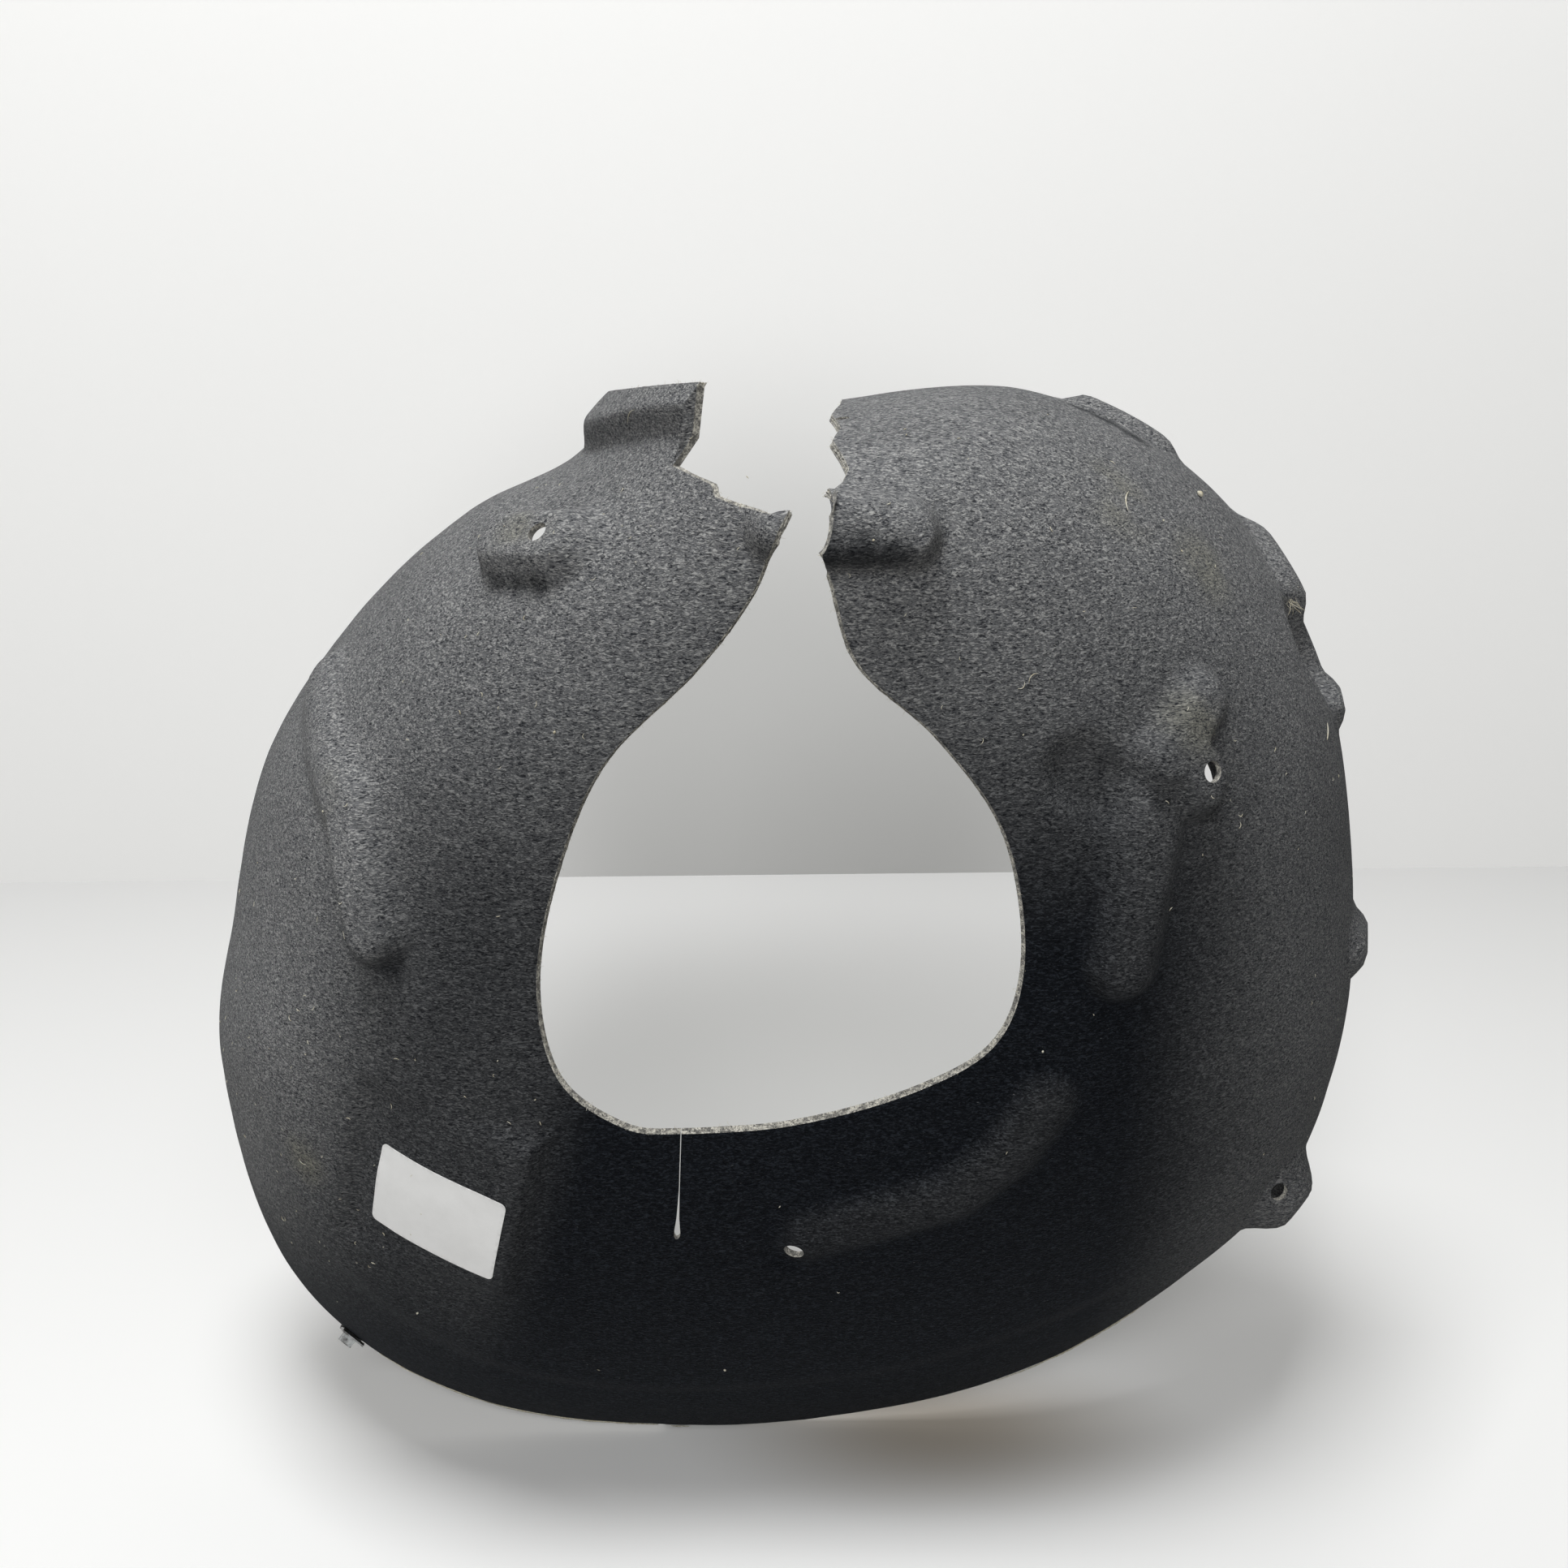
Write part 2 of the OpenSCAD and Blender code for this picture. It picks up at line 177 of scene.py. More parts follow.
@dataclass(frozen=True)
class Shell:
    """The liner's form in mm: a skin of even thickness swept round the arch.

    Its numbers follow the solids, with crisper bosses and ridges, and smaller flat seats round the holes.
    """

    felt_t: float = 3.4
    front_reach: float = 120
    arm_reach: float = 100
    crown_turn: float = 55
    arm_turn: float = 86
    arm_blend: Pair = (1.2, 4.2)
    hem_step: float = 3
    hem_blend: Pair = (2, 3.4)
    hem_line: Pair = (0.6, 0.68)
    lip_step: float = 5
    lip_from: float = 7.6
    lip_gap: float = 0.03
    section_l: float = 265
    crown_at: float = 9
    slope_step: float = 0.01
    panel_at: Pair = (-104, 213)
    panel_size: Pair = (104, 106)
    panel_lean: float = -14
    panel_tilt: float = 8
    panel_h: float = 1
    panel_flank: float = 12
    stations: tuple[Spot, ...] = (
        (112, 598, -12, 593), (72, 542, -48, 557), (56, 506, -108, 528), (30, 472, -168, 477),
        (-12, 430, -225, 400), (-36, 376, -253, 306), (-46, 324, -265, 220), (-38, 280, -227, 104),
        (-10, 256, -126, 26), (18, 252, -4, 2), (72, 256, 134, 14), (128, 272, 268, 60),
        (166, 296, 362, 126), (178, 338, 398, 216), (168, 396, 398, 328), (138, 440, 372, 445),
        (102, 474, 306, 541), (90, 510, 204, 592), (84, 528, 92, 586),
    )
    raised: tuple[Feature, ...] = (
        Feature((-58, -60, 520), (-34, -80, 523), 9, 24, 9, 15, 14),
        Feature((-56, 60, 581), (42, -84, 595), 15, 11, 8, 13, 12),
        Feature((-168, 11, 447), (-136, -79, 401), 6, 17, 17, 6, 8.4),
        Feature((-136, -79, 401), (-123, -100, 345), 8, 15, 9, 8.4, 12),
        Feature((263, -80, 448), (240, -100, 424), 6, 15, 10, 9.8, 14),
        Feature((252, -95, 422), (256, -94, 413), 9, 10, 11, 14, 14),
        Feature((238, -104, 408), (224, -114, 331), 8, 16, 11, 7.2, 9.6),
        Feature((341, 50, 487), (330, 75, 500), 8, 22, 16, 8, 8),
        Feature((366, 39, 423), (368, 60, 423), 5, 12, 12, 6, 6),
        Feature((384, 11, 291), (390, 40, 291), 6, 14, 14, 8, 8),
        Feature((338, -6, 158), (338, -2, 156), 10, 24, 20, 15, 15),
        Feature((72, -118, 530), (122, -114, 527), 5, 24, 9, 19, 17),
        Feature((190, -117, 265), (174, -116, 238), 7, 12, 12, 6, 6),
        Feature((174, -116, 238), (148, -114, 216), 7, 12, 12, 6, 6),
        Feature((148, -114, 216), (80, -114, 195), 7, 12, 12, 6, 3.6),
        Feature((240, 84, 580), (270, 76, 558), 5, 15, 16, 7, 6),
    )
    sunk: tuple[Feature, ...] = (
        Feature((348, 20, 466), (354, 34, 446), 12, 12, 12, 14, 14),
        Feature((202, -113, 424), (214, -111, 415), 5, 17, 17, 8, 8),
    )
    left_cut: tuple[Pair, ...] = (
        (0, 0.97), (0.015, 0.97), (0.035, 1.03), (0.12, 1), (0.19, 0.95), (0.215, 0.86),
        (0.355, 0.76), (0.375, 0.16), (0.82, 0.3), (1, 0.32),
    )
    right_cut: tuple[Pair, ...] = (
        (0, 17.7), (0.1, 18), (0.215, 17.96), (0.3, 17.78), (0.36, 17.76), (0.525, 17.94),
        (0.615, 17.88), (0.74, 17.95), (0.86, 17.88), (1, 17.85),
    )
    fit_left: float = 2
    fit_right: float = 17
    holes: tuple[Hole, ...] = (
        Hole(1.9, 0.41, 10), Hole(14.68, 0.32, 10), Hole(12.15, 0.67, 10),
        Hole(9.77, 0.24, 10), Hole(17.86, 0.69, 7),
    )
    seat_r: float = 8
    seat_blend: float = 8
    crown_hole: int = 3
    slit_at: float = 9.02
    slit_w: float = 1
    slit_end_d: float = 3.2
    slit_l: float = 62

    @property
    def last(self) -> int:
        """Number of the last station."""
        return len(self.stations) - 1

    def at_station(self, station: Points) -> Points:
        """Follow a smooth curve through the stations.

        Args:
            station: Stations to look at.

        Returns:
            The opening's x and z and the rim's x and z at each station.
        """
        table = np.array(self.stations, float)
        index = np.clip(np.floor(station).astype(int), 0, self.last - 1)
        f = (station - index)[..., None]
        a, b, c, d = (table[np.clip(index + k, 0, self.last)] for k in (-1, 0, 1, 2))
        bend, twist = 2 * a - 5 * b + 4 * c - d, 3 * b - a - 3 * c + d
        return (2 * b + (c - a) * f + bend * f ** 2 + twist * f ** 3) / 2

    def shell_point(self, station: Points, across: Points) -> Points:
        """Find the smooth shell, which turns from the front face round to the rim.

        Args:
            station: Stations to look at.
            across: Places across the section, from 0 at the opening to 1 at the rim.

        Returns:
            Points in mm.
        """
        edge = self.at_station(station)
        arm = smooth(*self.arm_blend, np.abs(station - self.crown_at))
        turn = np.radians(self.crown_turn + (self.arm_turn - self.crown_turn) * arm)
        out = np.sin(across * turn) / np.sin(turn)
        back = (1 - np.cos(across * turn)) / (1 - np.cos(turn))
        return np.stack([
            edge[..., 0] + (edge[..., 2] - edge[..., 0]) * out,
            -self.front_reach + (self.front_reach + self.arm_reach * arm) * back,
            edge[..., 1] + (edge[..., 3] - edge[..., 1]) * out,
        ], -1)

    def normal_of(self, surface: Callable[[Points, Points], Points], station: Points,
                  across: Points) -> Points:
        """Return the outward direction of a surface from its two slopes.

        Args:
            surface: Function of station and place across that gives points.
            station: Stations to look at.
            across: Places across the section to look at.

        Returns:
            Unit vectors that point towards the car body.
        """
        step = self.slope_step
        slope_across = surface(station, across + step) - surface(station, across - step)
        slope_along = surface(station + step, across) - surface(station - step, across)
        return unit(np.cross(slope_across, slope_along))

    def panel(self, points: Points) -> Points:
        """Raise the tilted panel that carries the label.

        Args:
            points: Places in mm, with x, y and z on the last axis.

        Returns:
            The panel's height at each point.
        """
        lean = math.radians(self.panel_lean)
        dx = points[..., 0] - self.panel_at[0]
        dz = points[..., 2] - self.panel_at[1]
        side = dx * math.cos(lean) + dz * math.sin(lean)
        across = np.abs(side) - self.panel_size[0] / 2
        up = np.abs(dz * math.cos(lean) - dx * math.sin(lean)) - self.panel_size[1] / 2
        height = self.panel_h + side * math.tan(math.radians(self.panel_tilt))
        return height * (1 - smooth(-self.panel_flank, 0, np.maximum(across, up)))

    def hem(self, station: Points, across: Points) -> Points:
        """Return how far the flange along the crown's rim is stepped in."""
        beside = smooth(*self.hem_blend, np.abs(station - self.crown_at))
        return self.hem_step * smooth(*self.hem_line, across) * (1 - beside)

    def relief(self, points: Points, station: Points, across: Points) -> Points:
        """Add up the moulded relief over the smooth shell.

        Args:
            points: Points of the smooth shell.
            station: Their stations.
            across: Their places across.

        Returns:
            The relief's height at each point.
        """
        up = np.max([f.height(points) for f in self.raised], axis=0)
        down = np.max([f.height(points) for f in self.sunk], axis=0)
        return up - down + self.panel(points) - self.hem(station, across)

    def relief_point(self, station: Points, across: Points) -> Points:
        """Raise the relief on the shell, before the holes' seats are flattened.

        Args:
            station: Stations to look at.
            across: Places across the section, from 0 at the opening to 1 at the rim.

        Returns:
            Points in mm.
        """
        points = self.shell_point(station, across)
        out = self.normal_of(self.shell_point, station, across)
        return points + out * self.relief(points, station, across)[..., None]

    @cached_property
    def seats(self) -> list[tuple[Points, Points]]:
        """Find the flat seat round each hole.

        Returns:
            Middle and outward direction of each seat.
        """
        station = np.array([hole.station for hole in self.holes])
        across = np.array([hole.across for hole in self.holes])
        out = self.normal_of(self.relief_point, station, across)
        return list(zip(self.relief_point(station, across), out))

    def face_point(self, station: Points, across: Points) -> Points:
        """Find the moulded face that meets the car body.

        Args:
            station: Stations to look at.
            across: Places across the section, from 0 at the opening to 1 at the rim.

        Returns:
            Points in mm.
        """
        points = self.relief_point(station, across)
        for middle, out in self.seats:
            away = points - middle
            share = 1 - smooth(self.seat_r, self.seat_r + self.seat_blend, np.linalg.norm(away, axis=-1))
            points = points - out * ((away @ out) * share)[..., None]
        return points

    def face_out(self, station: Points, across: Points) -> Points:
        """Return the moulded face's outward direction."""
        return self.normal_of(self.face_point, station, across)

    def at(self, station: float, across: float) -> tuple[Points, Points]:
        """Return one point of the moulded face and its outward direction."""
        t, u = np.array([float(station)]), np.array([float(across)])
        return self.face_point(t, u)[0], self.face_out(t, u)[0]

    def origin(self) -> Points:
        """Find the middle of the crown hole, which is the part's origin.

        Returns:
            The point in mm.
        """
        hole = self.holes[self.crown_hole]
        point, out = self.at(hole.station, hole.across)
        return point - out * self.felt_t / 2

    def cut_station(self, station: Points, across: Points) -> Points:
        """Fit the grid's columns to the cut lines at both ends.

        Args:
            station: Stations of an even grid.
            across: Places across of the same grid.

        Returns:
            Stations at which the columns cross the rows.
        """
        left = np.interp(across, *zip(*self.left_cut))
        right = np.interp(across, *zip(*self.right_cut))
        span = self.last - self.fit_right
        at_left = left + (self.fit_left - left) * station / self.fit_left
        at_right = self.fit_right + (right - self.fit_right) * (station - self.fit_right) / span
        trimmed = np.where(station > self.fit_right, at_right, station)
        return np.where(station < self.fit_left, at_left, trimmed)

    def row_place(self, station: Points, across: Points) -> Points:
        """Return where a row runs, drawn in left of the crown where the rim is cut back."""
        drawn = self.lip_step / self.section_l * smooth(self.lip_from, self.crown_at - self.lip_gap, station)
        return across * (1 - np.where(station < self.crown_at, drawn, 0))


SHELL = Shell()
ORIGIN = SHELL.origin()


def to_frame(points: Points) -> Points:
    """Return points in metres from the crown hole, from points in the moulding's own mm."""
    return (np.asarray(points) - ORIGIN) * MM


def new_object(name: str, vertices: Points, faces: list, materials: list[Material]) -> Piece:
    """Make a mesh object with smooth faces.

    Args:
        name: The piece's name.
        vertices: Corners in metres.
        faces: Corner numbers of each face.
        materials: The piece's finishes, in slot order.

    Returns:
        The new object, linked to the scene.
    """
    mesh = bpy.data.meshes.new(name)
    mesh.from_pydata(np.asarray(vertices).tolist(), [], faces)
    mesh.update()
    mesh.shade_smooth()
    thing = bpy.data.objects.new(name, mesh)
    bpy.context.scene.collection.objects.link(thing)
    for material in materials:
        mesh.materials.append(material)
    return thing


def sheet_faces(columns: int, rows: int) -> list[list[int]]:
    """Return the faces of two facing grids, the second numbered after the first and turned over.

    Args:
        columns: Number of columns in each grid.
        rows: Number of rows in each grid.

    Returns:
        Corner numbers of each face.
    """
    corner = np.arange(columns * rows).reshape(columns, rows)
    a, b, c, d = corner[:-1, :-1], corner[1:, :-1], corner[1:, 1:], corner[:-1, 1:]
    quads = np.stack([a, b, c, d], -1).reshape(-1, 4)
    return np.vstack([quads, quads[:, ::-1] + columns * rows]).tolist()


def rim_walk(columns: int, rows: int) -> list[tuple[int, int]]:
    """Return the grid places round a sheet's edge, in order.

    Args:
        columns: Number of columns in the grid.
        rows: Number of rows in the grid.

    Returns:
        Column and row of each edge place.
    """
    bottom = [(i, 0) for i in range(columns)]
    right = [(columns - 1, j) for j in range(1, rows)]
    top = [(i, rows - 1) for i in range(columns - 2, -1, -1)]
    left = [(0, j) for j in range(rows - 2, 0, -1)]
    return bottom + right + top + left


def wrap(upper: list[int], lower: list[int]) -> list[list[int]]:
    """Return the faces that join two closed rings of corners."""
    after = [*range(1, len(upper)), 0]
    return [[upper[n], upper[k], lower[k], lower[n]] for k, n in enumerate(after)]


def report(piece: Piece) -> None:
    """Log a finished piece's name and its number of faces."""
    log.info("%s: %d faces", piece.name, len(piece.data.polygons))


def place(piece: Piece, slot: str, *nodes: str) -> None:
    """Fix a piece to the liner's body and hide the solids that it stands for.

    Args:
        piece: The piece to place.
        slot: Name of its finish; not used.
        *nodes: Names of the solids that it stands for.
    """
    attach(piece, "root")
    if nodes:
        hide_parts(*nodes)
    report(piece)


def seen(tree: bpy.types.NodeTree) -> Socket:
    """Tell rays that look at a backdrop from rays that it only lights others by.

    Args:
        tree: The node tree that needs it.

    Returns:
        1 where the backdrop is seen itself, mirrored or through glass, and 0 for other rays.
    """
    path = tree.nodes.new("ShaderNodeLightPath").outputs
    shown = path["Is Camera Ray"]
    for ray in ("Is Glossy Ray", "Is Transmission Ray"):
        either = tree.nodes.new("ShaderNodeMath")
        either.operation = "MAXIMUM"
        tree.links.new(shown, either.inputs[0])
        tree.links.new(path[ray], either.inputs[1])
        shown = either.outputs[0]
    return shown


class Nodes:
    """A material's node tree, with short calls for the nodes that the finishes use."""

    def __init__(self, name: str) -> None:
        """Start a material that holds only its surface shader and output.

        Args:
            name: The material's name.
        """
        self.material = bpy.data.materials.new(name)
        self.material.use_nodes = True
        self.tree = self.material.node_tree
        self.shader = self.tree.nodes["Principled BSDF"]
        self.place = self.tree.nodes.new("ShaderNodeTexCoord").outputs["Object"]

    def link(self, source: Socket, target: Socket) -> None:
        """Join two sockets."""
        self.tree.links.new(source, target)

    def fill(self, socket: Socket, value: object) -> None:
        """Link a socket, or set a plain number on it.

        Args:
            socket: The socket to fill.
            value: A socket to link, or a number or colour to set.
        """
        if isinstance(value, Socket):
            self.link(value, socket)
        else:
            socket.default_value = value

    def noise(self, scale: float, detail: float = 3, rough: float = 0.55, place: object = None,
              seed: float = 0, distortion: float = 0) -> Socket:
        """Add soft noise.

        Args:
            scale: About how many of its features lie in a metre.
            detail: How many finer layers it has.
            rough: How strong the finer layers are.
            place: Where to look it up, if not at the object's own places.
            seed: Number that picks one pattern.
            distortion: How far it is pulled about.

        Returns:
            The noise, from 0 to 1.
        """
        node = self.tree.nodes.new("ShaderNodeTexNoise")
        node.noise_dimensions = "4D"
        node.inputs["W"].default_value = seed
        node.inputs["Scale"].default_value = scale
        node.inputs["Detail"].default_value = detail
        node.inputs["Roughness"].default_value = rough
        node.inputs["Distortion"].default_value = distortion
        self.link(place or self.place, node.inputs["Vector"])
        return node.outputs["Fac"]

    def stretch(self, factors: Triple) -> Socket:
        """Scale the object's places along each axis, for grain that runs one way.

        Args:
            factors: Scale along x, y and z.

        Returns:
            The scaled places.
        """
        node = self.tree.nodes.new("ShaderNodeVectorMath")
        node.operation = "MULTIPLY"
        self.link(self.place, node.inputs[0])
        node.inputs[1].default_value = factors
        return node.outputs[0]

    def math(self, operation: str, a: object, b: object = 0.0) -> Socket:
        """Join two numbers or sockets in one sum.

        Args:
            operation: Blender's name for the sum.
            a: First number.
            b: Second number.

        Returns:
            The result.
        """
        node = self.tree.nodes.new("ShaderNodeMath")
        node.operation = operation
        self.fill(node.inputs[0], a)
        self.fill(node.inputs[1], b)
        return node.outputs[0]

    def band(self, value: Socket, low: float, high: float, to_low: float = 0.0,
             to_high: float = 1.0) -> Socket:
        """Ease a value from one range into another, held at its ends.

        Args:
            value: Value to ease.
            low: Value at which the ease starts.
            high: Value at which it ends.
            to_low: Result at the start.
            to_high: Result at the end.

        Returns:
            The eased value.
        """
        node = self.tree.nodes.new("ShaderNodeMapRange")
        node.interpolation_type = "SMOOTHSTEP"
        self.link(value, node.inputs["Value"])
        for name, number in zip(("From Min", "From Max", "To Min", "To Max"), (low, high, to_low, to_high)):
            node.inputs[name].default_value = number
        return node.outputs["Result"]

    def mix(self, share: object, a: object, b: object) -> Socket:
        """Turn one colour into another.

        Args:
            share: How much of the second colour shows.
            a: First colour.
            b: Second colour.

        Returns:
            The mixed colour.
        """
        node = self.tree.nodes.new("ShaderNodeMix")
        node.data_type = "RGBA"
        self.fill(node.inputs["Factor"], share)
        for socket, value in ((node.inputs[6], a), (node.inputs[7], b)):
            self.fill(socket, (*value, 1.0) if isinstance(value, tuple) else value)
        return node.outputs[2]

    def mark(self, name: str) -> Socket:
        """Read a number that the mesh carries at its corners.

        Args:
            name: The number's name.

        Returns:
            The number.
        """
        node = self.tree.nodes.new("ShaderNodeAttribute")
        node.attribute_name = name
        return node.outputs["Fac"]

    def distance(self, spot: Vector, place: object = None) -> Socket:
        """Measure how far the surface lies from a spot.

        Args:
            spot: The spot.
            place: Where to measure from, if not from the object's own places.

        Returns:
            The distance in metres.
        """
        node = self.tree.nodes.new("ShaderNodeVectorMath")
        node.operation = "DISTANCE"
        self.link(place or self.place, node.inputs[0])
        node.inputs[1].default_value = spot
        return node.outputs["Value"]

    def bump(self, height: Socket, depth: float, strength: float = 1.0,
             under: object = None) -> Socket:
        """Roughen the surface's direction by a height.

        Args:
            height: The height, from 0 to 1.
            depth: How deep a height of 1 is, in metres.
            strength: Share of the depth that counts.
            under: A direction that is rough already.

        Returns:
            The roughened direction.
        """
        node = self.tree.nodes.new("ShaderNodeBump")
        node.inputs["Distance"].default_value = depth
        node.inputs["Strength"].default_value = strength
        self.link(height, node.inputs["Height"])
        if under is not None:
            self.link(under, node.inputs["Normal"])
        return node.outputs["Normal"]

    def set(self, **values: object) -> None:
        """Fill the surface shader's sockets, named with underscores for spaces."""
        for name, value in values.items():
            self.fill(self.shader.inputs[name.replace("_", " ")], value)


@dataclass(frozen=True)
class FeltFinish:
    """Pressed charcoal fibre felt: pebbled nap, paler where the mesh marks it (lighter up the arms, painted
    sheen and side light at the sides, painted shade at listed places), pale fibre ends, and dust.
    """

    # Dark tones and paler tones, each as pit, body and crest. The mesh's mark mixes them, partly as painted
    # sheen, side light and shade.
    deep: tuple[Triple, ...] = (
        (0.001, 0.0015, 0.0025), (0.0045, 0.0056, 0.0078), (0.022, 0.026, 0.033))
    grey: tuple[Triple, ...] = (
        (0.034, 0.036, 0.042), (0.165, 0.169, 0.175), (0.420, 0.422, 0.414))
    fibre: Triple = (0.50, 0.50, 0.49)
    dust: Triple = (0.27, 0.262, 0.185)
    lie: Triple = (0.42, 0.75, 1.2)
    grain: float = 900
    grain_share: float = 0.72
    grain_depth: float = 0.0016
    thread: float = 1800
    thread_share: float = 0.28
    thread_depth: float = 0.0005
    # Bands of the nap's height where the pits darken and the crests lighten: painted shade and painted
    # highlight on the grain.
    shaded_pits: Pair = (0.37, 0.48)
    lit_crests: Pair = (0.49, 0.62)
    fleck_lie: Triple = (0.5, 0.8, 2.2)
    fleck_grain: float = 700
    fleck_band: Pair = (0.7, 0.76)
    fleck_most: float = 0.35
    dust_band: Pair = (0.36, 0.6)

    def pebbled(self, n: Nodes, tone: Socket, tones: tuple) -> Socket:
        """Return pit, body and crest tones laid over the nap's height, which is the same height that bumps
        it: painted shade in the pits and a painted highlight on the crests.
        """
        pit, body, crest = tones
        return n.mix(n.band(tone, *self.lit_crests), n.mix(n.band(tone, *self.shaded_pits), pit, body), crest)

    def build(self) -> Material:
        """Lay the nap, its greying, its fibre ends and its dust over each other.

        Returns:
            The felt's material.
        """
        n = Nodes("felt")
        grain_way = n.stretch(self.lie)
        pebble = n.noise(self.grain, detail=2, rough=0.55, place=grain_way, distortion=1.2)
        fine = n.noise(self.thread, detail=3, rough=0.65, place=grain_way, seed=9)
        tone = n.math("ADD", n.math("MULTIPLY", pebble, self.grain_share),
                      n.math("MULTIPLY", fine, self.thread_share))
        # Mix the dark tones towards the paler ones by the mesh's mark, which holds painted sheen, side light
        # and shade.
        shade = n.mix(n.mark("paler_and_painted_light"), self.pebbled(n, tone, self.deep), self.pebbled(n, tone, self.grey))
        ends = n.noise(self.fleck_grain, detail=2, rough=0.7, place=n.stretch(self.fleck_lie), seed=7)
        flecks = n.band(ends, *self.fleck_band)
        haired = n.mix(n.math("MULTIPLY", flecks, self.fleck_most), shade, self.fibre)
        dusted = n.math("MULTIPLY", n.mark("dust"), n.band(tone, *self.dust_band))
        n.set(Base_Color=n.mix(dusted, haired, self.dust), Roughness=0.85, Specular_IOR_Level=0.04,
              Sheen_Weight=0.04, Sheen_Roughness=0.4, Sheen_Tint=(0.90, 0.95, 1.0, 1.0))
        rough = n.bump(pebble, self.grain_depth)
        n.set(Normal=n.bump(fine, self.thread_depth, strength=0.8, under=rough))
        return n.material


@dataclass(frozen=True)
class CutEdgeFinish:
    """The felt's cut edge: pale layered fibre, darker where fibres smear over it."""

    pale: Triple = (0.64, 0.62, 0.55)
    dark: Triple = (0.06, 0.06, 0.06)
    strand_grain: float = 1100
    strand_band: Pair = (0.35, 0.6)
    strand_depth: float = 0.0006
    smear_grain: float = 320
    smear_band: Spot = (0.38, 0.58, 0.25, 1.0)

    def build(self) -> Material:
        """Streak pale fibre with dark smears.

        Returns:
            The cut edge's material.
        """
        n = Nodes("felt_cut_edge")
        strands = n.noise(self.strand_grain, detail=4, rough=0.7, seed=2)
        smear = n.noise(self.smear_grain, detail=3, rough=0.6, seed=5)
        share = n.math("MULTIPLY", n.band(strands, *self.strand_band), n.band(smear, *self.smear_band))
        n.set(Base_Color=n.mix(share, self.dark, self.pale), Roughness=1.0, Specular_IOR_Level=0.1,
              Sheen_Weight=0.2, Sheen_Roughness=0.6)
        n.set(Normal=n.bump(strands, self.strand_depth, strength=0.8))
        return n.material


@dataclass(frozen=True)
class PaperFinish:
    """Coated white label stock, faintly mottled, with grey scuffs at its edges."""

    white: Triple = (0.90, 0.905, 0.90)
    grey: Triple = (0.62, 0.62, 0.61)
    mottle_grain: float = 60
    mottle_band: Spot = (0.3, 0.75, 0.0, 0.2)
    scuff_grain: float = 400
    scuff_band: Pair = (0.4, 0.65)
    scuff_most: float = 0.6
    tooth_grain: float = 700
    tooth_depth: float = 0.0002

    def build(self) -> Material:
        """Mottle the paper and scuff its edges.

        Returns:
            The label's material.
        """
        n = Nodes("label_paper")
        mottle = n.noise(self.mottle_grain, detail=4, rough=0.6)
        patches = n.band(n.noise(self.scuff_grain, detail=3, rough=0.6, seed=4), *self.scuff_band)
        scuff = n.math("MULTIPLY", n.mark("edge"), patches)
        tone = n.mix(n.band(mottle, *self.mottle_band), self.white, self.grey)
        n.set(Base_Color=n.mix(n.math("MULTIPLY", scuff, self.scuff_most), tone, self.grey),
              Roughness=0.42, Specular_IOR_Level=0.4)
        tooth = n.noise(self.tooth_grain, detail=2, rough=0.5)
        n.set(Normal=n.bump(tooth, self.tooth_depth, strength=0.25))
        return n.material


@dataclass(frozen=True)
class SteelFinish:
    """Dull zinc-coated spring steel with fine rolling lines."""

    steel: Triple = (0.34, 0.35, 0.35)
    stain: Triple = (0.09, 0.088, 0.085)
    rough: float = 0.38
    rough_rise: float = 0.25
    rough_band: Pair = (0.3, 0.7)
    stain_band: Pair = (0.38, 0.62)
    cloud_grain: float = 240
    roll_grain: float = 900
    roll_lie: Triple = (1.0, 0.15, 0.15)
    roll_depth: float = 0.0001

    def build(self) -> Material:
        """Cloud the steel and roll fine lines into it.

        Returns:
            The clip's material.
        """
        n = Nodes("clip_steel")
        rolled = n.noise(self.roll_grain, detail=3, rough=0.6, place=n.stretch(self.roll_lie))
        cloud = n.noise(self.cloud_grain, detail=4, rough=0.65, seed=6)
        dull = n.band(cloud, *self.rough_band, self.rough, self.rough + self.rough_rise)
        n.set(Base_Color=n.mix(n.band(cloud, *self.stain_band), self.steel, self.stain), Metallic=0.9,
              Roughness=dull)
        n.set(Normal=n.bump(rolled, self.roll_depth, strength=0.5))
        return n.material


@dataclass(frozen=True)
class StrawFinish:
    """Dry plant straw and pale lint that lies on the felt."""

    straw: Triple = (0.48, 0.43, 0.30)
    pith: Triple = (0.72, 0.70, 0.60)
    streak_grain: float = 700
    streak_lie: Triple = (1.0, 0.3, 1.0)
    streak_band: Pair = (0.35, 0.65)
    streak_depth: float = 0.0003

    def build(self) -> Material:
        """Streak the straw with pith.

        Returns:
            The straw's material.
        """
        n = Nodes("straw")
        streak = n.noise(self.streak_grain, detail=3, rough=0.6, place=n.stretch(self.streak_lie))
        n.set(Base_Color=n.mix(n.band(streak, *self.streak_band), self.straw, self.pith), Roughness=0.8)
        n.set(Normal=n.bump(streak, self.streak_depth, strength=0.5))
        return n.material


